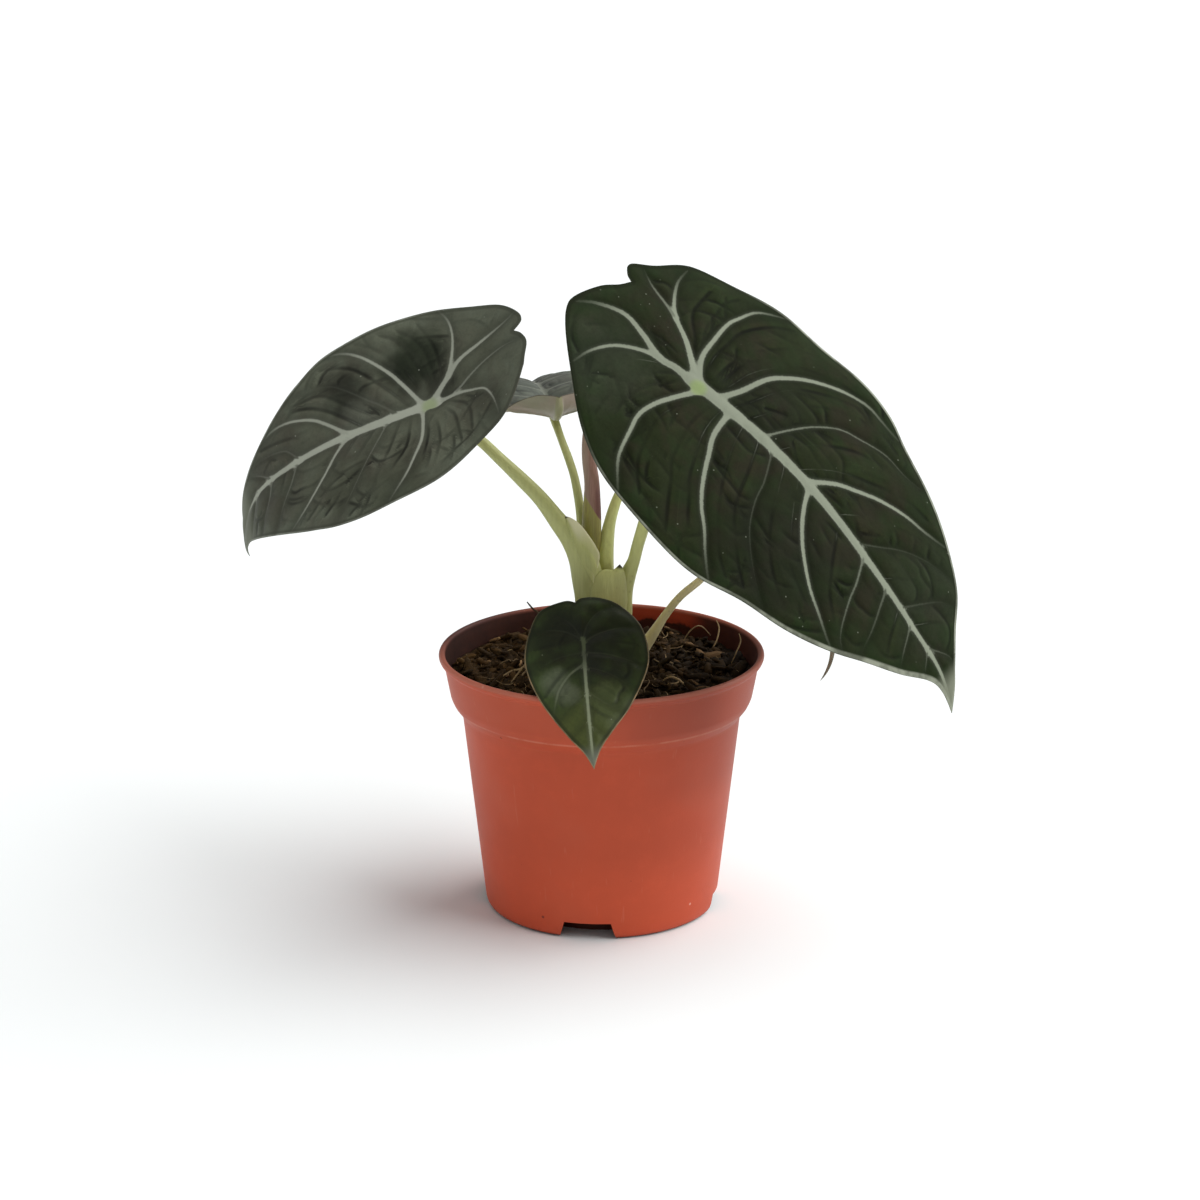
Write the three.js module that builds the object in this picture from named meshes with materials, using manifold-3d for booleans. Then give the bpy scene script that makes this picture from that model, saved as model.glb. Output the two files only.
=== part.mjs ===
// Potted alocasia with velvety dark leaves, in a round nursery pot. Millimetres, +Z up.
// The origin is the centre of the pot's underside, and -Y is the front.
import * as THREE from 'three';
import { mergeVertices } from 'three/addons/utils/BufferGeometryUtils.js';
import Module from 'manifold-3d';

const wasm = await Module();
wasm.setup();

// ---- Driving dimensions ----

const GAP = 0.3;                  // clearance between pieces that touch
const BLADE_THICKNESS = 0.8;

const POT = {
  segments: 48,
  height: 97.6,
  rimRadius: 60,
  wall: 1.25,
  floor: 1.4,
  footRadius: 39.4,
};
const NOTCH = {
  count: 4,
  turn: -96.9,                    // the first notch's heading, a little left of the front
  height: 6.5,
  topWidth: 17.2,
  bottomWidth: 20.9,
  lip: 1.5,                       // height up to which its sides stand nearly upright
  innerRadius: 32.5,              // how far in the recess runs under the floor
};
const DRAIN = { width: 9, depth: 2.6, radius: 35.5, bottom: 3, top: 10.5 };

const SOIL = {
  level: 89.6,
  segments: 44,
  lump: 1,                        // height of its lumps over and under the level
  gap: 0.35,                      // clearance to the pot's wall, which has facets of its own
  rings: [55.1, 48, 40, 32, 24, 16, 8, 0],
};

// The plant's base in the soil, as [radius, height] from its underside to its top.
const CROWN_TOP = 86;
const CROWN = [[0, 66], [5, 66.6], [9, 70], [12, 77], [12.9, 83], [12.5, CROWN_TOP], [0, CROWN_TOP]];
const CROWN_SEGMENTS = 20;

// Outline of the pot from the middle of its underside to the middle of its mouth, as [radius, height].
const POT_OUTSIDE = [
  [0, 0],
  [POT.footRadius, 0],
  [41.9, 0.5],
  [43.1, 3],
  [51.3, 73.9],
  [51.7, 75.1],
  [54.5, 78.6],
  [55.6, 81],
  [57.3, 90],
  [57.9, 93.6],
  [59.6, 95],
  [POT.rimRadius, 96.2],
  [59.5, 97.2],
  [58.6, POT.height],
  [0, POT.height],
];

// Hollow of the pot, from the middle of its floor up past its mouth.
const POT_INSIDE = [
  [0, POT.floor],
  [39.2, POT.floor],
  [41.7, 3.8],
  [49.95, 73.9],
  [50.5, 75.9],
  [53.15, 79.3],
  [54.2, 81.3],
  [56.5, 94],
  [57.7, 97],
  [57.9, 99],
  [0, 99],
];

// Stalks: knots of [x, y, z, radius] from the crown up to the blade. The wide low stretch is the sheath.
// The last knots before the blade are worked out from the blade's own place.
const STALKS = {
  left: [
    [-3.5, -3.5, CROWN_TOP + GAP, 4.6],
    [-3.8, -4, 100, 5.2],
    [-4.2, -4.3, 117, 5.6],
    [-5.2, -4.5, 126, 5.7],
    [-6.8, -4.5, 133.5, 5.2],
    [-10.5, -4.3, 141, 4.3],
    [-15.5, -4, 147.5, 3.4],
    [-22.3, -3, 156.3, 2.8],
    [-29.5, -2, 163.5, 2.5],
    [-36.8, -1, 170.4, 2.2],
    [-43.5, 0.5, 176.5, 2],
    [-51.5, 3, 181.8, 1.9],
  ],
  right: [
    [5.5, -1, CROWN_TOP + GAP, 4],
    [6.6, -1.3, 110, 4.6],
    [7.3, -1.6, 120, 4.6],
    [8.6, -2, 126, 4.2],
    [10.2, -3, 132.5, 3.5],
    [12.6, -4, 138, 2.7],
    [14.7, -6, 145, 2.4],
    [19.2, -13, 162, 2.2],
    [26.1, -21.5, 183, 2],
  ],
  back: [
    [-7, 4.5, CROWN_TOP + GAP, 2.2],
    [-7.6, 5.5, 110, 2],
    [-7.9, 6.5, 132, 1.9],
    [-7.5, 7, 145, 1.7],
    [-9.7, 11, 159.2, 1.55],
    [-11.9, 15, 165.7, 1.5],
    [-14.5, 20, 171.5, 1.4],
  ],
  front: [
    [1.5, -9.3, CROWN_TOP + GAP, 1.6],
    [1.2, -10.5, 97, 1.5],
    [-0.6, -15, 106, 1.4],
    [-2.8, -23, 111.5, 1.3],
    [-4.6, -32, 112, 1.2],
  ],
  low: [
    [10, 4.5, CROWN_TOP + GAP, 1.9],
    [11.4, 5, 90.5, 1.9],
    [17.9, 7, 99.8, 1.7],
    [23.4, 8, 108.2, 1.5],
    [28.9, 8, 115.4, 1.45],
    [37.4, 8, 123, 1.4],
    [46, 6.5, 134.5, 1.3],
  ],
  rear: [
    [4, 6.5, CROWN_TOP + GAP, 2.4],
    [2.8, 7.5, 110, 2.5],
    [1.7, 8, 131, 2.5],
    [2.2, 8.3, 138, 2.4],
    [3.3, 9.5, 145, 2.1],
    [6, 12.5, 152.5, 1.8],
    [10.8, 18.5, 160.5, 1.6],
  ],
};

const NEW_LEAF = [
  [-1.5, 4, CROWN_TOP + GAP, 3],
  [-2.5, 3.4, 110, 3.3],
  [-3.3, 3, 131, 3.4],
  [-3.4, 2.8, 146.6, 3.2],
  [-3.9, 3, 154, 2.9],
  [-4.1, 3, 161.4, 2.45],
  [-4.6, 3.3, 169, 2.1],
  [-4.9, 3.6, 176, 1.75],
  [-4.2, 4.3, 185, 1.1],
  [-3.4, 5, 192.7, 0.45],
];

// Blades. at: where the stalk meets the blade. turn: heading, droop and roll in degrees. bend: the midrib's
// droop in degrees per mm behind the stalk, ahead of it and past hookAt. fold and curl: rise of each half
// beside the midrib, in degrees and degrees per mm. twist: degrees per mm along the midrib. wave: height and
// count of the margin's ripples. The midrib runs from the notch over the stalk to the tip, and the edges
// beside it run between the same two ends, all as [forward, sideways].
const BLADES = {
  right: {
    at: [33.9, -32, 204.4],
    turn: [-22.5, 38, 27.5],
    bend: [-0.235, 0.128, 0.645],
    hookAt: 96,
    fold: 1,
    curl: -0.17,
    twist: 0.01,
    wave: [0.5, 5],
    midrib: [[-44, 12], [-20, 5], [0, 0], [75, 0], [151, -1]],
    leftEdge: [[-47, 13], [-49, 17], [-43, 25], [-34, 38.5], [-17, 48], [-1, 54], [18, 55.5], [37, 57],
      [54, 55], [66, 50], [85, 42], [103, 33], [116, 25], [126, 15], [136, 8], [143, 4.2]],
    rightEdge: [[-46, 7], [-50, 0], [-53, -11], [-52, -17], [-46, -24], [-34, -34], [-19, -45], [-3, -53],
      [12, -56.5], [31, -57.5], [48, -56], [65, -50], [82, -44.5], [99, -36], [111, -27], [123, -17],
      [133, -6.5], [140, -2.6]],
  },
  left: {
    at: [-61.9, 0, 189.9],
    turn: [166, 22, -47],
    bend: [-0.39, 0.25, 0.85],
    hookAt: 63,
    fold: 8,
    curl: -0.11,
    twist: -0.1,
    wave: [0.4, 5],
    midrib: [[-39, -15], [-17, -7], [0, 0], [40, -1.5], [75, -1], [92, 1], [99, 6], [101, 11], [98, 18.5]],
    leftEdge: [[-42, -12.5], [-44, -8], [-42, -2], [-38.5, 9], [-33, 18.5], [-25, 24.5], [-11, 31], [5, 35.5],
      [23, 36.5], [41, 35], [53, 31.5], [66, 26.5], [79, 21], [89, 16.5], [96, 13.8], [99.6, 14.5]],
    rightEdge: [[-43, -17.5], [-41.5, -22], [-34, -28.5], [-22, -33], [-5, -37.5], [11, -38.5], [27, -37],
      [41, -35], [52, -29.5], [65, -22], [76, -15.5], [87, -9], [96, -4], [102, 1], [103, 7], [102, 13]],
  },
  front: {
    at: [-6.4, -45, 114.4],
    turn: [-85, 39, 9],
    bend: [0.06, 0.18, 0],
    hookAt: 41,
    fold: -7.5,
    curl: -0.16,
    twist: 0.06,
    wave: [0.2, 4],
    midrib: [[-18, -2], [0, 0], [50.5, 0]],
    leftEdge: [[-19.5, 1], [-19.3, 7], [-16, 14], [-7, 21], [6, 23], [17, 20], [28, 14], [36, 8], [43, 3]],
    rightEdge: [[-19.3, -6], [-17, -15], [-9, -19.5], [1, -22], [10, -21], [19, -18], [28, -13.5], [37, -8],
      [44, -3]],
  },
  back: {
    at: [-17.9, 30, 180],
    turn: [102, -19, -1],
    bend: [-6, 0.8, 0.5],
    hookAt: 50,
    fold: 22,
    curl: -1.5,
    twist: 0,
    wave: [0.6, 6],
    midrib: [[-18, 0], [0, 0], [74, 0]],
    leftEdge: [[-18.5, 3], [-18.5, 9], [-14, 18], [-3, 25], [12, 27], [28, 24], [44, 16.5],
      [58, 8], [67, 2.5]],
    rightEdge: [[-18.5, -3], [-18.5, -9], [-14, -18], [-3, -24], [12, -26], [28, -23.5], [44, -16.5],
      [58, -8], [67, -2.5]],
  },
  low: {
    at: [58.5, 5, 148],
    turn: [5, 56, 0],
    bend: [-0.2, 0.1, 2.4],
    hookAt: 46,
    fold: 4,
    curl: -0.2,
    twist: 0,
    wave: [0.3, 4],
    midrib: [[-15, 0], [0, 0], [73, 0]],
    leftEdge: [[-19, 4], [-18, 12], [-9, 19.5], [5, 22.5], [20, 20], [34, 14], [46, 7.5], [57, 3], [66, 1.4]],
    rightEdge: [[-19, -4], [-18, -12], [-9, -19.5], [5, -22.5], [20, -20], [34, -14], [46, -7.5], [57, -3],
      [66, -1.4]],
  },
  rear: {
    at: [20.5, 30, 173],
    turn: [66, 14, -6],
    bend: [-0.3, 0.3, 0.7],
    hookAt: 42,
    fold: 5,
    curl: -0.3,
    twist: 0,
    wave: [0.5, 5],
    midrib: [[-13, 0], [0, 0], [76, 0]],
    leftEdge: [[-17, 4], [-17, 11], [-9, 18.5], [5, 23], [20, 22.5], [35, 18], [49, 11],
      [61, 4.5], [69, 1.6]],
    rightEdge: [[-17, -4], [-17, -11], [-9, -18.5], [5, -23], [20, -22.5], [35, -18], [49, -11], [61, -4.5],
      [69, -1.6]],
  },
};

// Steps across and along each blade: [rows from notch to tip, columns from midrib to margin].
const BLADE_GRID = {
  right: [24, 5],
  left: [22, 4],
  front: [16, 3],
  back: [18, 3],
  low: [16, 3],
  rear: [16, 3],
};

// ---- Finishes ----

const FINISH = {
  pot: { color: 0xb9492c, roughness: 0.45 },
  soil: { color: 0x2b1c14, roughness: 0.95 },
  stalk: { color: 0xa9b474, roughness: 0.5 },
  crown: { color: 0x6b5f3a, roughness: 0.8 },
  newLeaf: { color: 0x7a5a48, roughness: 0.55 },
  darkBlade: { color: 0x222c24, roughness: 0.7 },
  greyBlade: { color: 0x32382f, roughness: 0.7 },
  youngBlade: { color: 0x2a3a26, roughness: 0.5 },
};

// ---- Solids ----

// A closed geometry as a solid: only its positions are kept, and equal points become one.
function solidOf(geometry) {
  const bare = new THREE.BufferGeometry();
  bare.setAttribute('position', geometry.attributes.position);
  bare.setIndex(geometry.index);
  const merged = mergeVertices(bare, 1e-4);
  const corners = merged.index.array;
  const kept = [];
  for (let i = 0; i < corners.length; i += 3) {
    const [a, b, c] = [corners[i], corners[i + 1], corners[i + 2]];
    if (a !== b && b !== c && c !== a) kept.push(a, b, c);
  }
  const vertProperties = new Float32Array(merged.attributes.position.array);
  const triVerts = new Uint32Array(kept);
  return new wasm.Manifold(new wasm.Mesh({ numProp: 3, vertProperties, triVerts }));
}

// The biggest of a solid's separate bodies: a loose scrap left by a cut is dropped.
function mainBody(solid) {
  return solid.decompose().reduce((best, body) => (body.volume() > best.volume() ? body : best));
}

function geometryOf(solid) {
  const { vertProperties, triVerts } = solid.getMesh();
  const geometry = new THREE.BufferGeometry();
  geometry.setAttribute('position', new THREE.BufferAttribute(vertProperties, 3));
  geometry.setIndex(new THREE.BufferAttribute(triVerts, 1));
  geometry.computeVertexNormals();
  return geometry;
}

function piece(name, solid, finish) {
  const mesh = new THREE.Mesh(geometryOf(solid), new THREE.MeshStandardMaterial({ metalness: 0, ...finish }));
  mesh.name = name;
  return mesh;
}

// A profile of [radius, height] points, on the axis at both ends, turned about Z.
function turned(profile, segments, shape = (x, y, z) => z) {
  const points = profile.map(([radius, height]) => new THREE.Vector2(radius, height));
  const geometry = new THREE.LatheGeometry(points, segments);
  geometry.rotateX(Math.PI / 2);
  const position = geometry.attributes.position;
  for (let i = 0; i < position.count; i++) {
    position.setZ(i, shape(position.getX(i), position.getY(i), position.getZ(i)));
  }
  return solidOf(geometry);
}

// A block that reaches out along a heading from the pot's axis: its outline is [sideways, height] points,
// and it runs from one radius to another.
function radialBlock(outline, fromRadius, toRadius, heading) {
  const shape = new THREE.Shape(outline.map(([x, y]) => new THREE.Vector2(x, y)));
  const geometry = new THREE.ExtrudeGeometry(shape, { depth: toRadius - fromRadius, bevelEnabled: false });
  geometry.translate(0, 0, fromRadius);
  geometry.applyMatrix4(new THREE.Matrix4().makeBasis(
    new THREE.Vector3(0, 1, 0), new THREE.Vector3(0, 0, 1), new THREE.Vector3(1, 0, 0)));
  geometry.rotateZ(THREE.MathUtils.degToRad(heading));
  return solidOf(geometry);
}

// A round rod along a smooth curve through knots of [x, y, z, radius], with flat ends. grow widens it.
function rod(knots, sides, steps, grow = 0) {
  const path = new THREE.CatmullRomCurve3(knots.map(([x, y, z]) => new THREE.Vector3(x, y, z)));
  const { normals, binormals } = path.computeFrenetFrames(steps, false);
  const points = [];
  for (let i = 0; i <= steps; i++) {
    const centre = path.getPointAt(i / steps);
    const along = path.getUtoTmapping(i / steps) * (knots.length - 1);
    const k = Math.min(Math.floor(along), knots.length - 2);
    const radius = THREE.MathUtils.lerp(knots[k][3], knots[k + 1][3], along - k) + grow;
    for (let j = 0; j < sides; j++) {
      const angle = (j / sides) * 2 * Math.PI;
      points.push(centre.clone()
        .addScaledVector(normals[i], Math.cos(angle) * radius)
        .addScaledVector(binormals[i], Math.sin(angle) * radius));
    }
  }
  const index = [];
  for (let i = 0; i < steps; i++) {
    for (let j = 0; j < sides; j++) {
      const [a, b] = [i * sides + j, i * sides + (j + 1) % sides];
      index.push(a, b, b + sides, a, b + sides, a + sides);
    }
  }
  const last = steps * sides;
  for (let j = 1; j < sides - 1; j++) {
    index.push(0, j + 1, j, last, last + j, last + j + 1);
  }
  const geometry = new THREE.BufferGeometry().setFromPoints(points);
  geometry.setIndex(index);
  return solidOf(geometry);
}

// ---- Pot, soil and crown ----

function notchBlocks(margin, depth) {
  const top = NOTCH.height + margin;
  const [half, foot] = [NOTCH.topWidth / 2 + margin, NOTCH.bottomWidth / 2 + margin];
  const outline = [
    [-foot, -NOTCH.lip], [foot, -NOTCH.lip], [foot - 0.5, NOTCH.lip],
    [half, top], [-half, top], [0.5 - foot, NOTCH.lip],
  ];
  return Array.from({ length: NOTCH.count }, (_, i) => (
    radialBlock(outline, NOTCH.innerRadius - depth, POT.rimRadius, NOTCH.turn + (i * 360) / NOTCH.count)));
}

function drainSlots() {
  const half = DRAIN.width / 2;
  const { bottom, top } = DRAIN;
  const outline = [[-half, bottom], [half, bottom], [half, top], [-half, top]];
  return Array.from({ length: NOTCH.count }, (_, i) => (
    radialBlock(outline, DRAIN.radius - DRAIN.depth / 2, DRAIN.radius + DRAIN.depth / 2,
      NOTCH.turn + (i * 360) / NOTCH.count)));
}

function pot() {
  const hollow = notchBlocks(POT.wall, POT.wall).reduce(
    (rest, block) => rest.subtract(block), turned(POT_INSIDE, POT.segments));
  return [...notchBlocks(0, 0), ...drainSlots()].reduce(
    (rest, block) => rest.subtract(block), turned(POT_OUTSIDE, POT.segments).subtract(hollow));
}

// Height of the soil's lumps over its level, a sum of crossing ripples.
function lumps(x, y) {
  return SOIL.lump * (Math.sin(x / 4.3 + 0.6) * Math.sin(y / 3.9 + 1.9)
    + 0.8 * Math.sin(x / 7.1 - y / 5.3 + 2.2) + 0.5 * Math.sin(x / 2.9 + y / 8.3));
}

function soil(stalkHoles) {
  const below = POT_INSIDE.filter(([, height]) => height < SOIL.level);
  const inside = below.map(([radius, height]) => [Math.max(radius - SOIL.gap, 0), height + GAP]);
  const profile = [...inside, ...SOIL.rings.map((radius) => [radius, SOIL.level])];
  const lift = (x, y, z) => (z > SOIL.level - 0.1 ? z + lumps(x, y) : z);
  const heap = turned(profile, SOIL.segments, lift);
  return mainBody([...notchBlocks(POT.wall + GAP, POT.wall + GAP), ...stalkHoles].reduce(
    (rest, block) => rest.subtract(block), heap));
}

function crown(grow = 0) {
  const middle = (CROWN[0][1] + CROWN_TOP) / 2;
  return turned(CROWN.map(([radius, height]) => (
    [radius === 0 ? 0 : radius + grow, height + (height > middle ? grow : -grow)])), CROWN_SEGMENTS);
}

// ---- Blades and stalks ----

// Travel along an arc that starts level: how far on, how far down and the angle turned.
function arc(length, bend) {
  const turnPerMm = bend || 1e-9;
  const angle = turnPerMm * length;
  return [Math.sin(angle) / turnPerMm, (1 - Math.cos(angle)) / turnPerMm, angle];
}

// A blade's own axes: forward along the midrib at the stalk, to the left, and up out of the upper face.
function bladeAxes(leaf) {
  const [heading, droop, roll] = leaf.turn.map(THREE.MathUtils.degToRad);
  const forward = new THREE.Vector3(
    Math.cos(heading) * Math.cos(droop), Math.sin(heading) * Math.cos(droop), -Math.sin(droop));
  const level = new THREE.Vector3(-Math.sin(heading), Math.cos(heading), 0);
  const upright = forward.clone().cross(level);
  const left = level.clone().multiplyScalar(Math.cos(roll)).addScaledVector(upright, Math.sin(roll));
  const up = upright.multiplyScalar(Math.cos(roll)).addScaledVector(level, -Math.sin(roll));
  return { forward, left, up };
}

// A point of the blade's middle face. The midrib is three arcs that follow one another. Each half of the
// blade leaves it at the fold angle and curls on as an arc, and the whole section twists along the midrib.
function bladePoint(leaf, along, sideways, rise = 0) {
  const rad = THREE.MathUtils.degToRad;
  const { forward, left, up } = bladeAxes(leaf);
  const [back, ahead, hook] = leaf.bend.map(rad);
  const [backRun, backDrop, backTurn] = arc(Math.min(along, 0), back);
  const [run, drop, turn] = arc(THREE.MathUtils.clamp(along, 0, leaf.hookAt), ahead);
  const [hookRun, hookDrop, hookTurn] = arc(Math.max(along - leaf.hookAt, 0), hook);
  const x = backRun + run + hookRun * Math.cos(turn) - hookDrop * Math.sin(turn);
  const z = -backDrop - drop - hookRun * Math.sin(turn) - hookDrop * Math.cos(turn);
  const slope = backTurn + turn + hookTurn;

  const [fold, curl] = [rad(leaf.fold), rad(leaf.curl) || 1e-9];
  const angle = fold + curl * Math.abs(sideways);
  const across = (Math.sign(sideways) * (Math.sin(angle) - Math.sin(fold))) / curl;
  const height = (Math.cos(fold) - Math.cos(angle)) / curl + rise;
  const twist = rad(leaf.twist) * along;
  const y = across * Math.cos(twist) - height * Math.sin(twist);
  const h = across * Math.sin(twist) + height * Math.cos(twist);
  return new THREE.Vector3(...leaf.at)
    .addScaledVector(forward, x + h * Math.sin(slope))
    .addScaledVector(left, y)
    .addScaledVector(up, z + h * Math.cos(slope));
}

// Rows of points from the notch to the tip. In each row the points run from the left margin over the midrib
// to the right margin. The first and last rows are the single points of the notch and the tip.
function bladeRows(leaf, rows, columns) {
  const spaced = (points) => new THREE.SplineCurve(
    points.map(([x, y]) => new THREE.Vector2(x, y))).getSpacedPoints(rows);
  const [notch, tip] = [leaf.midrib[0], leaf.midrib[leaf.midrib.length - 1]];
  const midrib = spaced(leaf.midrib);
  const leftMargin = spaced([notch, ...leaf.leftEdge, tip]);
  const rightMargin = spaced([notch, ...leaf.rightEdge, tip]);
  const [waveHeight, waves] = leaf.wave;
  return midrib.map((middle, i) => {
    const u = i / rows;
    const row = [];
    for (let j = -columns; j <= columns; j++) {
      const t = Math.abs(j) / columns;
      const flat = middle.clone().lerp(j < 0 ? leftMargin[i] : rightMargin[i], t);
      const ripple = Math.sin(2 * Math.PI * waves * u + j / columns);
      const rise = waveHeight * t * t * ripple * Math.sin(Math.PI * u);
      row.push(bladePoint(leaf, flat.x, flat.y, rise));
    }
    return i === 0 || i === rows ? [row[columns]] : row;
  });
}

// The blade as a thin solid: its middle face moved half the thickness out on both sides, with both faces
// split into the same triangles, and a strip round the margin.
function bladeSolid(name, thickness) {
  const [rows, columns] = BLADE_GRID[name];
  const grid = bladeRows(BLADES[name], rows, columns);
  const start = [];
  let count = 0;
  for (const row of grid) {
    start.push(count);
    count += row.length;
  }
  const width = 2 * columns + 1;
  const faces = [];
  for (let i = 1; i < rows - 1; i++) {
    for (let j = 0; j < width - 1; j++) {
      const [a, b] = [start[i] + j, start[i + 1] + j];
      if (j < columns) faces.push([a, b, a + 1], [a + 1, b, b + 1]);
      else faces.push([a, b, b + 1], [a, b + 1, a + 1]);
    }
  }
  for (let j = 0; j < width - 1; j++) {
    faces.push([start[0], start[1] + j, start[1] + j + 1]);
    faces.push([start[rows], start[rows - 1] + j + 1, start[rows - 1] + j]);
  }
  const rim = [start[0]];
  for (let i = 1; i < rows; i++) rim.push(start[i]);
  rim.push(start[rows]);
  for (let i = rows - 1; i > 0; i--) rim.push(start[i] + width - 1);

  const sheet = new THREE.BufferGeometry().setFromPoints(grid.flat());
  sheet.setIndex(faces.flat());
  sheet.computeVertexNormals();
  const normals = sheet.attributes.normal;
  const shifted = (distance) => grid.flat().map((point, i) => (
    point.clone().addScaledVector(new THREE.Vector3().fromBufferAttribute(normals, i), distance)));
  const index = faces.flatMap(([a, b, c]) => [a, b, c, c + count, b + count, a + count]);
  rim.forEach((a, i) => {
    const b = rim[(i + 1) % rim.length];
    index.push(b, a, a + count, b, a + count, b + count);
  });
  const solid = new THREE.BufferGeometry().setFromPoints(
    [...shifted(thickness / 2), ...shifted(-thickness / 2)]);
  solid.setIndex(index);
  return solidOf(solid);
}

// A stalk runs up its knots, turns in under its blade and ends square against the blade's lower face.
function stalkKnots(name) {
  const leaf = BLADES[name];
  const knots = STALKS[name];
  const topRadius = knots[knots.length - 1][3];
  const { up } = bladeAxes(leaf);
  const below = (distance) => new THREE.Vector3(...leaf.at).addScaledVector(up, -distance).toArray();
  return [...knots, [...below(4), topRadius], [...below(0.2), topRadius]];
}

// Sides and steps of each rod.
const ROD_GRID = {
  new_leaf: [12, 20],
  rear: [10, 16],
  back: [8, 18],
  right: [12, 22],
  left: [12, 26],
  front: [8, 12],
  low: [8, 16],
};

// The rods from the youngest to the oldest. An older stalk's sheath is hollowed by the younger ones in it.
const YOUNGEST_FIRST = ['new_leaf', 'rear', 'back', 'right', 'left', 'front', 'low'];

function growth(name, grow = 0) {
  const knots = name === 'new_leaf' ? NEW_LEAF : stalkKnots(name);
  return rod(knots, ...ROD_GRID[name], grow);
}

function stalk(name) {
  const seats = [bladeSolid(name, BLADE_THICKNESS + 2 * GAP), crown(GAP)];
  const younger = YOUNGEST_FIRST.slice(0, YOUNGEST_FIRST.indexOf(name)).map((other) => growth(other, GAP));
  return mainBody([...seats, ...younger].reduce((rest, cutter) => rest.subtract(cutter), growth(name)));
}

// ---- Assembly ----

const names = Object.keys(BLADES);
const holes = [crown(GAP), ...YOUNGEST_FIRST.map((name) => growth(name, GAP))];

const plant = new THREE.Group();
plant.add(piece('crown', crown(), FINISH.crown));
plant.add(piece('new_leaf', growth('new_leaf'), FINISH.newLeaf));
for (const name of names) {
  const finish = { left: FINISH.greyBlade, front: FINISH.youngBlade }[name] ?? FINISH.darkBlade;
  plant.add(piece(`stalk_${name}`, stalk(name), FINISH.stalk));
  plant.add(piece(`blade_${name}`, bladeSolid(name, BLADE_THICKNESS), finish));
}

const group = new THREE.Group();
group.add(piece('pot', pot(), FINISH.pot));
group.add(piece('soil', soil(holes), FINISH.soil));
group.add(plant);

export default group;
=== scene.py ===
"""Potted alocasia: the finer pieces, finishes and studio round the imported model.

Sizes in the tables are millimetres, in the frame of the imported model: +Z up, -Y to the front, the origin
under the middle of the pot. A place on a blade is [forward, sideways]: forward from the stalk along the
midrib, and sideways to the left of someone who looks from the stalk to the tip.
"""
import math

import bmesh
import bpy
import mathutils
import numpy as np
from bpy.props import FloatProperty, FloatVectorProperty, IntProperty, PointerProperty
from bpy.types import Operator, Panel, PropertyGroup
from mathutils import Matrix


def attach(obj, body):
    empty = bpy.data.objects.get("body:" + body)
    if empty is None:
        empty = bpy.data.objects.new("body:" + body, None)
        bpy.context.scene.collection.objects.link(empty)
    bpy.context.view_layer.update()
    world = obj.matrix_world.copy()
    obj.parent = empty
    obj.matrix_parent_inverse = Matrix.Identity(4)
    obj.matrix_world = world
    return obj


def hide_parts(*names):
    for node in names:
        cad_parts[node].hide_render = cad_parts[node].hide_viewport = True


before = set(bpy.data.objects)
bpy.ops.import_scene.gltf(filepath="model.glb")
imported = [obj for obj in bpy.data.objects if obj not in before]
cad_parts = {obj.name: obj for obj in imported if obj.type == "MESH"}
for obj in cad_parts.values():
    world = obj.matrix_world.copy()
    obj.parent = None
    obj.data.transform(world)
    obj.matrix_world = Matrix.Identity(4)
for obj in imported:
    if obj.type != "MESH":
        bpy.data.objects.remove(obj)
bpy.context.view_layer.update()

bl_info = {
    "name": "Potted Alocasia",
    "version": (1, 0, 0),
    "blender": (4, 5, 0),
    "location": "View3D > Sidebar > Alocasia",
    "description": "Leaves, stalks, soil and pot of a small potted alocasia, with a plain studio",
    "category": "Add Mesh",
}

MM = 0.001

# ---------------------------------------------------------------- sizes of the plant

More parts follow.
